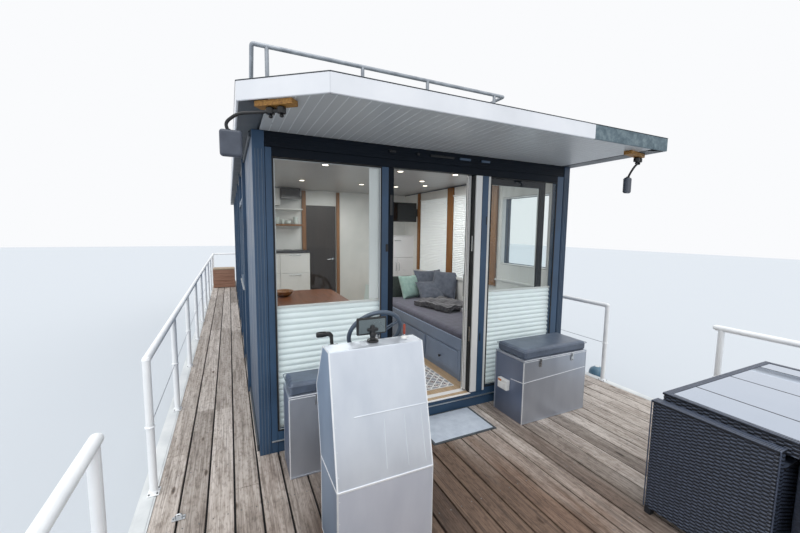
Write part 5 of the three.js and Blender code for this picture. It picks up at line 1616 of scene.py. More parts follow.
def makeFender():
    x, y, radius = fender["x"], fender["y"], fender["radius"]
    top, bottom = fender["top"], fender["bottom"]
    parts = Parts()
    parts.turned("fenderWhite", [(0.012, bottom), (0.036, bottom + 0.004), (0.066, bottom + 0.028),
        (0.081, bottom + 0.06), (radius, bottom + 0.09)], (x, y, 0), sides=32)
    body = [(radius, bottom + 0.0905)]
    ribs = 10
    for i in range(ribs):
        z = bottom + 0.1 + (top - 0.1 - bottom - 0.1) * i / (ribs - 1)
        body += [(radius, z - 0.012), (radius - 0.0025, z - 0.004), (radius - 0.0025, z + 0.004),
            (radius, z + 0.012)]
    body.append((radius, top - 0.0805))
    parts.turned("fenderBlue", body, (x, y, 0), sides=32)
    parts.turned("fenderBlue", [(radius, top - 0.08), (0.083, top - 0.052), (0.068, top - 0.026),
        (0.04, top - 0.008), (0.028, top - 0.0005)], (x, y, 0), sides=32)
    parts.turned("fenderWhite", [(0.024, top - 0.012), (0.025, top), (0.016, top + 0.004),
        (0.006, top + 0.004)], (x, y, 0), sides=24)
    makePiece("fenderDressed", parts, replaces=("fender",))


makeFender()


# Crate of weathered boards with a planed top frame
def makeCrate():
    low, high = nodeBox("deck_crate")
    board, gap = 0.09, 0.006
    parts = Parts()
    z = low.z + 0.01
    top = high.z - 0.03
    count = int((top - z) // (board + gap))
    tall = (top - z - gap * count) / count
    for i in range(count):
        a = z + i * (tall + gap)
        for y0, y1 in ((low.y, low.y + 0.018), (high.y - 0.018, high.y)):
            parts.block("crateBoard", low.x + 0.001, high.x - 0.001, y0, y1, a, a + tall, 0.002)
        for x0, x1 in ((low.x, low.x + 0.018), (high.x - 0.018, high.x)):
            parts.block("crateBoard", x0, x1, low.y + 0.019, high.y - 0.019, a, a + tall, 0.002)
    for x in (low.x + 0.019, high.x - 0.054):
        for y in (low.y + 0.019, high.y - 0.054):
            parts.block("crateBoard", x, x + 0.035, y, y + 0.035, low.z, top, 0.002)
    slats = 5
    wide = (high.y - low.y - gap * (slats - 1)) / slats
    for i in range(slats):
        a = low.y + i * (wide + gap)
        parts.block("crateFrame", low.x, high.x, a, a + wide, top + 0.001, high.z, 0.003)
    makePiece("crateDressed", parts, replaces=("deck_crate",))


makeCrate()
print("deck gear: done")


# Side walls keep their solids; window trims, inner linings, posts and blinds are added to them
walls = {"wall": 0.090, "width": 3.005, "boardPitch": 0.140, "front": 0.123, "partition": (3.645, 3.715),
    "stern": 7.905, "liningFoot": 0.128, "liningTop": 2.288,
    "battens": (1.19, 2.25, 3.31, 4.37, 5.43, 6.49, 7.55)}
sidePanes = "glass_starboard_1", "glass_port_1", "glass_port_2", "glass_port_3"


# Four bars round a side pane, as (y0, y1, z0, z1), from an inset of its edges inwards
def paneBars(low, high, inset):
    y0, y1, z0, z1 = low.y + inset, high.y - inset, low.z + inset, high.z - inset
    reach, meet = 0.010, 0.0105
    return ((y0, low.y + reach, z0, z1), (high.y - reach, y1, z0, z1),
        (low.y + meet, high.y - meet, z0, low.z + reach), (low.y + meet, high.y - meet, high.z - reach, z1))


def makeWallTrims():
    paintNodes("slate", "wall_starboard", "wall_port", "wall_stern")
    proud = 0.028
    parts = Parts()
    for node in sidePanes:
        low, high = nodeBox(node)
        out = -1 if "starboard" in node else 1
        face = -proud if out < 0 else walls["width"] + proud
        a, b = sorted((face + out * 0.006, face - out * 0.022))
        # Trims round each pane in the lighter slate: painted highlight
        for sizes in paneBars(low, high, -0.012):
            parts.block("slatePaintedHighlight", a, b, *sizes, 0.003)
        a, b = sorted((face + out * 0.014, face - out * 0.01))
        parts.block("anodised", a, b, low.y - 0.05, high.y + 0.05, low.z - 0.060, low.z - 0.046, 0.003)
    # Strips of lighter slate down the wall boards between the battens, a painted highlight, and the eaves
    # rail
    width = walls["width"]
    for side, face, eaves in (("starboard", -0.0008, -0.016), ("port", width - 0.0012, width + 0.016)):
        boxes = [nodeBox(node) for node in sidePanes if side in node]
        for y in np.arange(0.30, 7.95, 0.295):
            if any(abs(y - batten) < 0.06 for batten in walls["battens"]):
                continue
            spans = [(0.004, 2.26)]
            for low, high in boxes:
                if low.y - 0.05 < y < high.y + 0.05:
                    spans = [(0.004, low.z - 0.07), (high.z + 0.05, 2.26)]
            for z0, z1 in spans:
                parts.block("slatePaintedHighlight", face, face + 0.002, *span(y, 0.005), z0, z1, 0.0008, 1)
        a, b = sorted((face, eaves))
        parts.block("darkPaint", a, b, 0.064, 7.998, 2.262, 2.299, 0.003)
        parts.block("darkPaint", a, b, 0.064, 7.998, 0.0006, 0.050, 0.003)
    makePiece("wallTrims", parts)


# Heights of the white boards inside a side wall, cut round its windows
def liningSpans(side, y):
    foot, top = walls["liningFoot"], walls["liningTop"]
    for node in sidePanes:
        low, high = nodeBox(node)
        if side in node and low.y - 0.001 < y < high.y + 0.001:
            return [(foot, low.z - 0.004), (high.z + 0.004, top)]
    return [(foot, top)]


def makeLinings():
    parts = Parts()
    wall, width, top = walls["wall"], walls["width"], walls["liningTop"]
    inside = {"starboard": (wall + 0.0006, wall + 0.0088),
        "port": (width - wall - 0.0088, width - wall - 0.0006)}
    foreEdge = walls["front"] + 0.002
    for side, (x0, x1) in inside.items():
        edges = {foreEdge, *walls["partition"], walls["stern"]}
        for node in sidePanes:
            if side in node:
                low, high = nodeBox(node)
                edges |= {low.y - 0.002, high.y + 0.002}
        y = foreEdge
        while y < 7.9:
            edges.add(y)
            y += walls["boardPitch"]
        ordered = sorted(edges)
        for y0, y1 in zip(ordered, ordered[1:]):
            if y1 - y0 < 0.004 or (y0, y1) == walls["partition"]:
                continue
            for z0, z1 in liningSpans(side, (y0 + y1) / 2):
                parts.block("innerBoards", x0, x1, y0 + 0.0008, y1 - 0.0008, z0, z1, 0.0015, 1)
    # White boards line each window opening from the lining to the pane
    for node in sidePanes:
        low, high = nodeBox(node)
        x0, x1 = high.x + 0.0006, wall + 0.0105
        if "port" in node:
            x0, x1 = width - wall - 0.0105, low.x - 0.0006
        for sizes in paneBars(low, high, 0.001):
            parts.block("whiteLacquer", x0, x1, *sizes, 0.001, 1)
    makePiece("wallLinings", parts)
    posts = Parts()
    x0, x1 = inside["port"][0] - 0.030, inside["port"][0] - 0.0006
    for a, b, y0, y1, z0, ease in ((x0, x1, 0.950, 1.110, 0.95, 0.005), (x0, x1, 1.940, 2.090, 0.95, 0.005),
            (x0, x1, 2.990, 3.060, 0.95, 0.005), (0.100, 0.128, 1.12, 1.26, 0.90, 0.005),
            (0.970, 1.036, 3.612, 3.648, 0.128, 0.004), (1.564, 1.620, 3.612, 3.648, 0.128, 0.004)):
        posts.block("brownPost", a, b, y0, y1, z0, top, ease)
    for a, y0, y1, z0, z1 in ((x0 + 0.008, 0.300, 1.140, 1.030, 1.052), (x0, 2.095, 2.985, 0.925, 0.945),
            (x0, 1.115, 1.935, 0.925, 0.945)):
        posts.block("whiteLacquer", a, x1, y0, y1, z0, z1, 0.004)
    makePiece("innerPosts", posts)
    z0, z1 = 0.960, 2.150
    for number, (y0, y1) in enumerate(((1.150, 1.930), (2.120, 2.950)), 1):
        cloth, run = pleatedSheet(y0, y1, z0, z1, 0.014, 0.006, 0.026)
        spot = [(inside["port"][0] - 0.003 - y, x, z) for x, y, z in cloth[0]]
        hung = [((spot, cloth[1]), "blind")]
        blind = makePiece(f"innerBlind_{number}", hung, smooth=50)
        rails = Parts()
        for a, b in ((z0 - 0.014, z0 - 0.0005), (z1 + 0.0005, z1 + 0.020)):
            rails.block("whiteLacquer", x0, x1, y0 - 0.002, y1 + 0.002, a, b, 0.002)
        held = makePiece(f"innerBlindRails_{number}", rails)


makeWallTrims()
makeLinings()


# Hinged doors keep their solids; each gets a lever inside and out, the stern door also a window and a panel
levers = {"z": 1.12, "stern": {"inset": 0.055, "out": 0.045, "length": 0.12, "bend": 0.012, "radius": 0.009},
    "inner": {"inset": 0.050, "out": 0.040, "length": 0.11, "bend": 0.010, "radius": 0.008}}


def makeDoorFittings():
    paintNodes("slate", "stern_door")
    paintNodes("darkDoor", "inner_door")
    paintNodes("innerBoards", "partition")
    for name in ("stern", "inner"):
        form, z = levers[name], levers["z"]
        low, high = nodeBox(f"{name}_door")
        back, x = high.y - 0.009, high.x - form["inset"]
        parts = Parts()
        if name == "stern":
            # Window and panel rims in the lighter slate: painted highlight
            parts.add("slatePaintedHighlight", *rimShapes(low.x + 0.10, high.x - 0.10, 1.15, 1.95, 0.022, back - 0.0047,
                back + 0.006, 0.003))
            parts.block("screen", low.x + 0.121, high.x - 0.121, back - 0.0044, back + 0.0015, 1.171, 1.929,
                0.001, 1)
            parts.add("slatePaintedHighlight", *rimShapes(low.x + 0.10, high.x - 0.10, 0.28, 1.05, 0.016, back - 0.0045,
                back + 0.003, 0.002))
        for y, way in ((back - 0.0045, 1), (back - 0.0456, -1)):
            if name == "stern":
                parts.block("spoke", *span(x, 0.02), *sorted((y, y + way * 0.008)), 0.98, 1.20, 0.003)
            else:
                parts.turned("spoke", [(0.022, 0.0), (0.022, 0.005), (0.017, 0.007)], (x, y, z), (0, way, 0),
                    20)
            out = y + way * form["out"]
            parts.tube("spoke", [(x, y + way * 0.004, z), (x, out, z), (x - form["length"], out, z)],
                form["radius"], 12, form["bend"])
        makePiece(f"{name}DoorFittings", parts, body=f"{name}_door")


makeDoorFittings()


# Cabin floor: oak laminate boards, and a tufted rug on them
room = {"boardWidth": 0.190, "boardLength": 1.285, "gap": 0.0012}


def makeRoomFloor():
    low, high = nodeBox("cabin_floor")
    draw = random.Random(5)
    parts = Parts()
    x = low.x
    while x < high.x - 0.01:
        end = min(x + room["boardWidth"], high.x)
        y, stretch = low.y, draw.uniform(0.5, 1.3)
        while y < high.y - 0.05:
            stop = min(y + stretch, high.y)
            if high.y - stop < 0.25:
                stop = high.y
            parts.add("floorWood", blockShape(x, end - room["gap"], y, stop - room["gap"], high.z - 0.012,
                high.z))
            y, stretch = stop, room["boardLength"]
        x = end
    parts.add("innerBoards", blockShape(low.x, high.x, low.y, high.y, low.z, high.z - 0.013))
    makePiece("laminateFloor", parts, replaces=("cabin_floor",), smooth=None)
    (x0, x1), (y0, y1), top = rug["x"], rug["y"], rug["floorTop"]
    field = softBlock(x0, x1, y0, y1, top + 0.0004, top + rug["thickness"], 0.003)
    piece = makePiece("saloonRug", [(field, "rug")], smooth=None)


makeRoomFloor()


# Daybed with three drawers below, its mattress, cushions, sheet and a folded throw
bed = {"railTop": 0.56, "railFoot": 0.44, "boardTop": 0.47, "drawerZ": (0.175, 0.42), "knob": 0.283,
    "drawers": ((0.305, 0.95), (0.99, 1.635), (1.675, 2.32))}


def makeDaybed():
    low, high = nodeBox("daybed")
    foot, back = bed["railFoot"], high.y - 0.042
    parts = Parts()
    # Box, bottom board, front rail and its two posts
    for sizes in ((low.x + 0.012, high.x, low.y + 0.002, back, low.z, foot - 0.001, 0.003),
            (low.x + 0.019, high.x, low.y + 0.002, back, foot, bed["boardTop"], 0.003),
            (low.x, low.x + 0.018, low.y, back + 0.001, foot, bed["railTop"], 0.005, 3),
            (low.x, low.x + 0.011, low.y, low.y + 0.04, low.z, foot - 0.001, 0.002),
            (low.x, low.x + 0.011, back - 0.04, back, low.z, foot - 0.001, 0.002)):
        parts.block("bedPaint", *sizes)
    z0, z1 = bed["drawerZ"]
    for y0, y1 in bed["drawers"]:
        parts.block("bedPaint", low.x, low.x + 0.0115, y0, y1, z0, z1, 0.004, 3)
        for shape in rimShapes(y0 + 0.035, y1 - 0.035, z0 + 0.03, z1 - 0.03, 0.006, 0, 0.002, 0.0008):
            turned = [(low.x - 0.0014 + y, x, z) for x, y, z in shape[0]]
            parts.add("bedPaint", (turned, shape[1]))
        parts.turned("blackPlastic", [(0.006, 0.0), (0.006, 0.012), (0.014, 0.018), (0.015, 0.024),
            (0.008, 0.028)], (low.x, (y0 + y1) / 2, bed["knob"]), (-1, 0, 0), 20)
    makePiece("daybedFrame", parts, replaces=("daybed",))
    panel = Parts()
    panel.block("headboard", low.x + 0.005, high.x, high.y - 0.04, high.y, low.z, high.z, 0.014, 4)
    for i in range(1, 4):
        x = low.x + (high.x - low.x) * i / 4
        panel.block("headboard", *span(x, 0.003), high.y - 0.043, high.y - 0.038, 0.6, high.z - 0.015, 0.001,
            1)
    makePiece("daybedHeadboard", panel)
    low, high = nodeBox("mattress")
    makePad("daybedMattress", low, high, "mattress", replaces=("mattress",), capMm=10,
        voxel=0.016, ease=0.03)
    return high


# Pillow: two crowned faces meeting in a pinched edge, placed by its centre, size and turn
def pillowShape(size, centre, turn, seed):
    width, depth, thickness = size
    steps = 22
    draw = random.Random(seed)
    dents = [(draw.uniform(-0.7, 0.7), draw.uniform(-0.7, 0.7), draw.uniform(0.5, 1.0)) for _ in range(5)]

    def crown(u, v):
        rise = (max(0.0, 1 - abs(u) ** 2.6) * max(0.0, 1 - abs(v) ** 2.6)) ** 0.42
        for du, dv, share in dents:
            rise -= 0.10 * share * math.exp(-((u - du) ** 2 + (v - dv) ** 2) / 0.05) * rise
        return rise

    points = []
    for face in (1, -1):
        for i in range(steps + 1):
            for j in range(steps + 1):
                u, v = 2 * i / steps - 1, 2 * j / steps - 1
                pull = 1 - 0.10 * (1 - abs(v) ** 2) * abs(u) ** 3
                pullV = 1 - 0.10 * (1 - abs(u) ** 2) * abs(v) ** 3
                points.append((u * pull * width / 2, v * pullV * depth / 2,
                    face * (crown(u, v) * thickness / 2 + 0.0025)))
    return movedShape(gridShape(points, steps), Matrix.Translation(Vector(centre)) @ turn)


def turnedBy(*degrees):
    x, y, z = (Matrix.Rotation(math.radians(angle), 4, axis) for angle, axis in zip(degrees, "XYZ"))
    return z @ y @ x


pillows = [
    # name, kind, size, centre, turn about X, Y and Z
    ("mint", "mintCushion", (0.37, 0.37, 0.12), (2.33, 2.225, 0.785), (68, 0, 14)),
    ("grey_1", "greyCushion", (0.46, 0.46, 0.15), (2.66, 2.235, 0.81), (70, 0, -6)),
    ("grey_2", "greyCushion", (0.44, 0.44, 0.14), (2.77, 1.95, 0.83), (66, 0, -58)),
    ("grey_3", "greyCushion", (0.40, 0.40, 0.13), (2.56, 1.99, 0.735), (38, 0, -10)),
]


# Folded cloth: it goes back and forth in layers, its folds round
def foldedThrow(width, reach, layers, centre, turn):
    thickness, rise = 0.009, 0.016
    half = rise / 2
    middle = []
    for layer in range(layers):
        start, end = (-reach / 2, reach / 2) if layer % 2 == 0 else (reach / 2, -reach / 2)
        z = layer * rise
        middle += [(start + (end - start) * i / 14, z) for i in range(15)]
        if layer < layers - 1:
            sign = 1 if layer % 2 == 0 else -1
            for i in range(1, 6):
                angle = -math.pi / 2 + math.pi * i / 6
                middle.append((end + sign * half * math.cos(angle), z + half + half * math.sin(angle)))
    run = sum(math.dist(a, b) for a, b in zip(middle, middle[1:]))
    points, faces = [], []
    columns = 16
    for i, (y, z) in enumerate(middle):
        before, after = middle[max(i - 1, 0)], middle[min(i + 1, len(middle) - 1)]
        length = math.dist(before, after)
        normal = -(after[1] - before[1]) / length, (after[0] - before[0]) / length
        for k in range(columns + 1):
            x = -width / 2 + width * k / columns
            wave = 0.01 * math.sin(x * 17 + y * 9) + 0.007 * math.sin(x * 37 - y * 21)
            wave += 0.005 * math.sin(y * 47 + x * 11)
            for out in (thickness / 2, -thickness / 2):
                points.append((x, y + normal[0] * out, z + normal[1] * out + wave))
    row = 2 * (columns + 1)
    for i in range(len(middle) - 1):
        for k in range(columns):
            a = i * row + 2 * k
            faces.append((a, a + 2, a + row + 2, a + row))
            faces.append((a + 1, a + row + 1, a + row + 3, a + 3))
        for a in (i * row, i * row + 2 * columns):
            faces.append((a, a + 1, a + row + 1, a + row))
    for start in (0, (len(middle) - 1) * row):
        for k in range(columns):
            a = start + 2 * k
            faces.append((a, a + 1, a + 3, a + 2))
    return movedShape((points, faces), Matrix.Translation(Vector(centre)) @ turn), (width, run)


def makeBedding():
    top = makeDaybed().z
    for number, (name, kind, size, centre, turn) in enumerate(pillows):
        shape = pillowShape(size, centre, turnedBy(*turn), number)
        piece = makePiece(f"pillow_{name}", [(shape, kind)], smooth=80)
    for name, kind, width, reach, layers, (x, y, lift), turn in (
            ("foldedThrow", "throw", 0.52, 0.62, 4, (2.44, 1.42, 0.022), 14),
            ("foldedSheet", "paleSheet", 0.40, 0.50, 3, (2.63, 0.80, 0.020), -8)):
        shape, flat = foldedThrow(width, reach, layers, (x, y, top + lift), turnedBy(0, 0, turn))
        cloth = makePiece(name, [(shape, kind)], smooth=70)


makeBedding()


# Cabinets: sprayed fronts with shadow gaps, bar handles, worktop, hob, shelf and wall cupboard
def makeTallCabinet():
    low, high = nodeBox("tall_cabinet")
    face, middle, split = low.y + 0.018, (low.x + high.x) / 2, 1.150
    parts = Parts()
    parts.block("cabinetLacquer", low.x, high.x, face + 0.0005, high.y, low.z + 0.06, high.z - 0.018, 0.002)
    parts.block("darkPaint", low.x + 0.02, high.x, face + 0.03, high.y, low.z, low.z + 0.0595, 0.002)
    parts.block("cabinetLacquer", low.x - 0.004, high.x, low.y - 0.004, high.y, high.z - 0.0175, high.z,
        0.003)
    for x0, x1, z0, z1 in ((low.x + 0.002, middle - 0.0015, low.z + 0.065, split - 0.002),
            (middle + 0.0015, high.x - 0.002, low.z + 0.065, split - 0.002),
            (low.x + 0.002, high.x - 0.002, split + 0.002, high.z - 0.020)):
        parts.block("cabinetLacquer", x0, x1, low.y, face, z0, z1, 0.003)
    # Two upright handles on the lower doors, one lying on the upper
    for x0, x1, z0, z1 in ((middle - 0.030, middle - 0.030, 0.92, 1.06),
            (middle + 0.030, middle + 0.030, 0.92, 1.06), (middle - 0.06, middle + 0.06, 1.46, 1.46)):
        parts.tube("spoke", bowRoute((x0, low.y, z0), (x1, low.y, z1), (0, -0.026, 0), 0.012), 0.005, 10)
    makePiece("tallCabinetFronts", parts, replaces=("tall_cabinet",))


def makeKitchen():
    low, high = nodeBox("kitchen_counter")
    face, top = low.y + 0.018, high.z
    parts = Parts()
    parts.block("whiteLacquer", low.x, high.x, face + 0.0005, high.y, low.z + 0.06, top - 0.036, 0.002)
    parts.block("darkPaint", low.x, high.x - 0.02, face + 0.03, high.y, low.z, low.z + 0.0595, 0.002)
    parts.block("worktop", low.x, high.x + 0.006, low.y - 0.014, high.y, top - 0.035, top, 0.004)
    for i in range(2):
        x0 = low.x + (high.x - low.x) * i / 2 + 0.002
        x1 = low.x + (high.x - low.x) * (i + 1) / 2 - 0.002
        for z0, z1 in ((low.z + 0.065, 0.62), (0.624, 0.94), (0.944, top - 0.040)):
            parts.block("whiteLacquer", x0, x1, low.y, face, z0, z1, 0.003)
            parts.block("spoke", x0 + 0.14, x1 - 0.14, low.y - 0.014, low.y - 0.0005, z1 - 0.035, z1 - 0.025,
                0.003)
    # Hob with two plates, and a tap over a small basin
    parts.block("screen", 0.60, 1.00, low.y + 0.05, high.y - 0.05, top + 0.0003, top + 0.006, 0.002)
    for x in (0.70, 0.88):
        parts.turned("darkPaint", [(0.070, 0.0), (0.070, 0.0012)], (x, low.y + 0.20, top + 0.006), sides=36)
    parts.tube("spoke", [(0.32, high.y - 0.06, top), (0.32, high.y - 0.06, top + 0.26),
        (0.32, high.y - 0.20, top + 0.26), (0.32, high.y - 0.20, top + 0.20)], 0.009, 12, 0.06)
    parts.block("spoke", 0.18, 0.50, low.y + 0.06, high.y - 0.10, top + 0.0003, top + 0.0035, 0.0015)
    makePiece("kitchenFronts", parts, replaces=("kitchen_counter",))
    shelf = Parts()
    for kind, *sizes in (("brownPost", 0.40, 0.95, 3.43, 3.648, 1.695, 1.722, 0.003),
            ("whiteLacquer", 0.40, 0.95, 3.43, 3.648, 1.955, 1.975, 0.003),
            ("whiteLacquer", 0.102, 0.594, 3.40, 3.648, 2.02, 2.288, 0.004),
            ("glossBlack", 0.600, 0.900, 3.33, 3.648, 2.120, 2.288, 0.004),
            ("whiteLacquer", 0.110, 0.345, 3.394, 3.3995, 2.028, 2.280, 0.003),
            ("whiteLacquer", 0.349, 0.588, 3.394, 3.3995, 2.028, 2.280, 0.003)):
        shelf.block(kind, *sizes)
    for x, radius, height in ((0.46, 0.034, 0.085), (0.55, 0.040, 0.110), (0.64, 0.030, 0.075),
            (0.73, 0.046, 0.060), (0.85, 0.038, 0.120)):
        shelf.turned("shell", [(radius * 0.7, 0.0), (radius, height * 0.25), (radius, height),
            (radius * 0.86, height), (radius * 0.82, height * 0.3)], (x, 3.54, 1.7224), sides=20)
    makePiece("kitchenShelf", shelf)


# Television on an arm from the port wall
television = {"x": (2.38, 2.84), "y": (3.02, 3.05), "z": (1.79, 2.12)}


def makeTelevision():
    (x0, x1), (y0, y1), (z0, z1) = (television[key] for key in "xyz")
    x, y, z = 2.61, 3.11, 1.955
    parts = Parts()
    parts.block("blackPlastic", x0, x1, y0, y1, z0, z1, 0.004)
    parts.block("screen", x0 + 0.008, x1 - 0.008, y0 - 0.001, y0 + 0.003, z0 + 0.012, z1 - 0.008, 0.001, 1)
    parts.tube("blackPlastic", [(x, y1, z), (x, y, z), (2.875, y, z)], 0.014, 12, 0.02)
    parts.block("blackPlastic", 2.8755, 2.9060, 3.06, 3.16, 1.89, 2.02, 0.004)
    makePiece("wallTelevision", parts)


makeTallCabinet()
makeKitchen()
makeTelevision()


# Saloon table: an oiled top with round corners on one column
def makeSaloonTable():
    low, high = nodeBox("inner_table")
    middle = (low + high) / 2
    ring = roundedRoute([(middle.x, low.y, 0), (high.x, low.y, 0), (high.x, high.y, 0), (low.x, high.y, 0),
        (low.x, low.y, 0), (middle.x - 0.001, low.y, 0)], 0.14, 8)
    parts = Parts()
    parts.prism("tableWood", "z", [(spot.x, spot.y) for spot in ring], high.z - 0.030, high.z, 0.006, 3, 60)
    tall = high.z - 0.0305 - low.z
    parts.turned("darkPaint", [(0.19, 0.0003), (0.19, 0.010), (0.06, 0.022), (0.036, 0.06),
        (0.036, tall - 0.03), (0.11, tall - 0.006), (0.11, tall)], (middle.x, middle.y, low.z), sides=36)
    # A turned bowl on it
    parts.turned("brownPost", [(0.045, 0.0), (0.090, 0.018), (0.118, 0.060), (0.112, 0.062), (0.082, 0.024),
        (0.030, 0.012)], (0.375, 1.55, high.z + 0.0005), sides=36)
    makePiece("saloonTable", parts, replaces=("inner_table",))


# Moulded shell chair on wooden legs: the seat line sweeps up to the back and is cupped at its sides
shellChair = {"seat": 0.600, "steps": 18, "shell": 0.006, "bend": 0.55, "cup": 0.045, "halfWidth": 0.205}


def makeShellChair():
    low, high = nodeBox("inner_chair")
    seat, top, steps, bend = shellChair["seat"], high.z, shellChair["steps"], shellChair["bend"]
    middleY = (low.y + high.y) / 2
    points = []
    for side in (0.0, shellChair["shell"]):
        for i in range(steps + 1):
            t = i / steps
            if t < bend:
                x, z = low.x + 0.02 + (t / bend) * 0.30, seat - 0.028 + 0.012 * math.cos(t / bend * math.pi)
            else:
                u = (t - bend) / 0.45
                x = low.x + 0.32 + 0.065 * math.sin(u * math.pi / 2)
                z = seat - 0.040 + (top - 0.012 - seat + 0.040) * u ** 1.25
            for j in range(steps + 1):
                v = 2 * j / steps - 1
                cup = shellChair["cup"] * abs(v) ** 2.6
                half = shellChair["halfWidth"] * (1 - 0.16 * t ** 2)
                points.append((x - cup * (0.9 if t > 0.5 else 0.0) - side * (1 if t > 0.5 else 0),
                    middleY + v * half, z + cup * (0.8 if t <= 0.5 else 0.0) + side))
    parts = Parts([(gridShape(points, steps), "shell")])
    x = (low.x + high.x) / 2 - 0.02
    for dx, dy in ((-1, -1), (-1, 1), (1, -1), (1, 1)):
        parts.tube("brownPost", [(x + dx * 0.07, middleY + dy * 0.07, seat - 0.036),
            (x + dx * 0.165, middleY + dy * 0.165, low.z + 0.0005)], [0.015, 0.010], 12)
    parts.block("blackPlastic", *span(x, 0.09), *span(middleY, 0.09), seat - 0.052, seat - 0.040, 0.003)
    makePiece("shellChair", parts, replaces=("inner_chair",), smooth=60)


makeSaloonTable()
makeShellChair()


# Downlights in the ceiling boards: a bright ring round a warm lens
def makeDownlights():
    parts = Parts()
    for x, y in ((2.137, 2.364), (2.18, 1.63), (2.45, 2.03), (2.25, 0.95), (1.59, 1.05), (0.75, 1.05),
            (0.75, 2.36), (1.59, 2.36), (1.5, 5.0), (1.5, 6.8)):
        parts.turned("spoke", [(0.04, 0.0), (0.044, 0.004), (0.04, 0.008)], (x, y, 2.291), sides=24)
        parts.turned("lampGlow", [(0.03, 0.0), (0.03, 0.002)], (x, y, 2.2886), sides=24)
    makePiece("ceilingDownlights", parts)


makeDownlights()
print("inside: done")


# Window catch and pull bars on the front panes' inner side
def makeCatches():
    parts = Parts()
    parts.block("whiteLacquer", 0.842, 0.928, 0.0225, 0.0265, 1.092, 2.118, 0.001, 1)
    grip = bowRoute((0.866, 0.0265, 1.43), (0.866, 0.0265, 1.58), (0, 0.0275, 0), 0.014)
    parts.tube("blackPlastic", grip, 0.008, 12)
    parts.turned("blackPlastic", [(0.015, 0.0), (0.015, 0.006), (0.010, 0.008)], (0.862, 0.0265, 1.688),
        (0, 1, 0), 20)
    makePiece("paneCatches", parts)


makeCatches()


# Outboard motor: rounded enamel cowl, cast leg, bolted clamp
outboard = {"x": 1.4675, "steerY": 10.130, "cowlY": 10.235, "pinLow": -0.336, "shaftZ": -0.750,
    # Corners of the cowl in plan, and its inset at each level
    "cowl": ((-0.110, 9.992), (0.110, 9.992), (0.178, 10.110), (0.168, 10.400), (0.110, 10.478),
        (-0.110, 10.478), (-0.168, 10.400), (-0.178, 10.110)),
    "levels": ((0.150, 0.030), (0.165, 0.010), (0.200, 0.0), (0.330, 0.0), (0.470, 0.004), (0.560, 0.022),
        (0.605, 0.050), (0.619, 0.085)),
    # Sections in plan, from the steering axis
    "leg": ((-0.021, 0.065), (0.0, 0.056), (0.021, 0.085), (0.019, 0.150), (0.0, 0.192), (-0.019, 0.150)),
    "plate": ((-0.040, 0.012), (0.040, 0.012), (0.095, 0.200), (0.060, 0.330), (-0.060, 0.330),
        (-0.095, 0.200)),
    "torpedo": ((0.008, 0.040), (0.026, 0.062), (0.038, 0.100), (0.0415, 0.150), (0.0415, 0.215),
        (0.034, 0.255))}


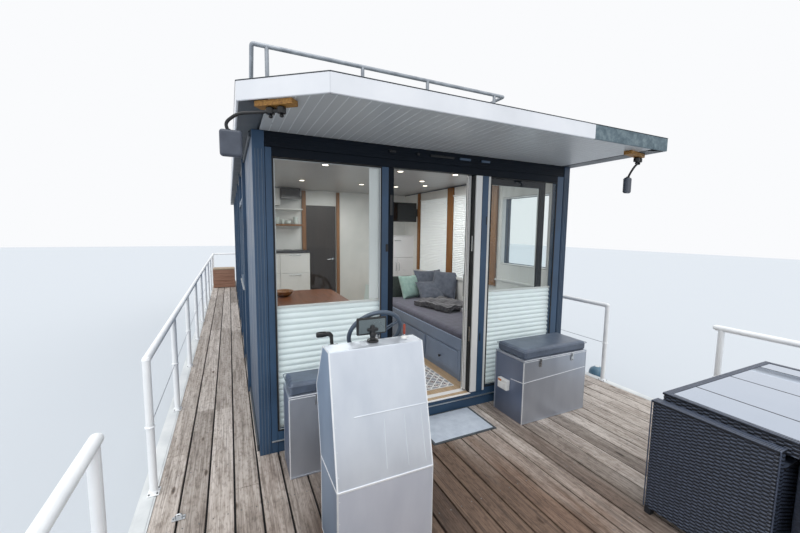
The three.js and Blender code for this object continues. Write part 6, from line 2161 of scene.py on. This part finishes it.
def makeOutboard():
    paintNodes("castGrey", "outboard_clamp", "outboard_swivel")
    paintNodes("propeller", "outboard_propeller")
    x, steerY, pinLow, shaftZ = (outboard[key] for key in ("x", "steerY", "pinLow", "shaftZ"))
    corners = [(x + a, b, 0) for a, b in outboard["cowl"]]
    foreY = corners[0][1]
    ring = roundedRoute([(x, foreY, 0), *corners[1:], corners[0], (x - 0.001, foreY, 0)], 0.10, 6)
    centre = Vector((x, outboard["cowlY"], 0))
    levels = []
    for z, inset in outboard["levels"]:
        spots = [centre + (spot - centre) * (1 - inset / max((spot - centre).length, 0.01)) for spot in ring]
        levels.append([(spot.x, spot.y, z) for spot in spots])
    parts = Parts([(loftShape(levels), "cowl")])
    seam = [(spot.x - (centre.x - spot.x) * 0.004, spot.y - (centre.y - spot.y) * 0.004) for spot in ring]
    parts.prism("blackPlastic", "z", seam, 0.296, 0.302)
    parts.block("castGrey", *span(x, 0.045), steerY - 0.030, steerY + 0.160, 0.082, 0.1505, 0.010)
    parts.turned("spoke", [(0.0158, 0.0), (0.0158, 0.453)], (x, steerY, pinLow - 0.030))
    parts.block("castGrey", *span(x, 0.040), steerY - 0.030, steerY + 0.080, pinLow - 0.044, pinLow, 0.008)
    parts.block("castGrey", *span(x, 0.055), steerY + 0.055, steerY + 0.200, -0.500, 0.1505, 0.022, 4)
    for key, z0, z1, ease in (("leg", -0.742, -0.499, (0.006, 3)), ("plate", -0.6385, -0.631, (0.003, 2))):
        parts.prism("castGrey", "z", [(x + a, steerY + b) for a, b in outboard[key]], z0, z1, *ease)
    spot = (x, steerY, shaftZ)
    parts.turned("castGrey", outboard["torpedo"], spot, (0, 1, 0), 28)
    parts.turned("spoke", [(0.0080, 0.100), (0.0080, 0.309)], spot, (0, 1, 0), 16)
    skeg = [(steerY + 0.080, shaftZ + 0.010), (steerY + 0.230, shaftZ + 0.010), (steerY + 0.225, -0.853),
        (steerY + 0.150, -0.853)]
    parts.prism("castGrey", "x", skeg, *span(x, 0.006), 0.004, 2)
    makePiece("outboardDressed", parts, body="outboard_motor",
        replaces=("outboard_motor",))


makeOutboard()


# Hull: weld seams and a rub strip on each pontoon side, and two painted edge strips below the planks
def makeHullSeams():
    parts = Parts()
    for node in ("pontoon_starboard", "pontoon_port"):
        low, high = nodeBox(node)
        for x in (low.x - 0.0015, high.x - 0.0015):
            for y in np.arange(low.y + 1.2, high.y - 0.6, 1.45):
                parts.block("hullPaint", x, x + 0.003, *span(y, 0.006), high.z - 0.24, high.z - 0.004, 0.001,
                    1)
            parts.block("hullPaint", x, x + 0.003, low.y + 0.06, high.y - 0.06, high.z - 0.045,
                high.z - 0.020, 0.001, 1)
    makePiece("hullSeams", parts)
    low, high = nodeBox("deck_frame")
    parts = Parts()
    for x0, x1 in ((low.x + 0.012, low.x + 0.078), (high.x - 0.078, high.x - 0.012)):
        parts.block("edgePaint", x0, x1, -3.03, 9.93, -0.0037, -0.0008, 0.001, 1)
    makePiece("edgeStrips", parts)


makeHullSeams()


# Small stainless pad-eye screwed to the starboard planks
def makePadEye():
    x, y = -0.464, -0.418
    parts = Parts()
    parts.block("spoke", *span(x, 0.034), *span(y, 0.018), 0.0006, 0.005, 0.002)
    eye = bowRoute((x - 0.016, y, 0.004), (x + 0.016, y, 0.004), (0, 0, 0.022), 0.014)
    parts.tube("spoke", eye, 0.004, 10)
    for end in span(x, 0.026):
        parts.turned("screw", [(0.005, 0.0), (0.004, 0.0018), (0.002, 0.0024)], (end, y, 0.005), sides=8)
    makePiece("deckPadEye", parts)


makePadEye()
for node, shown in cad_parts.items():
    if not shown.hide_render and not shown.data.materials:
        paintNodes("darkPaint", node)
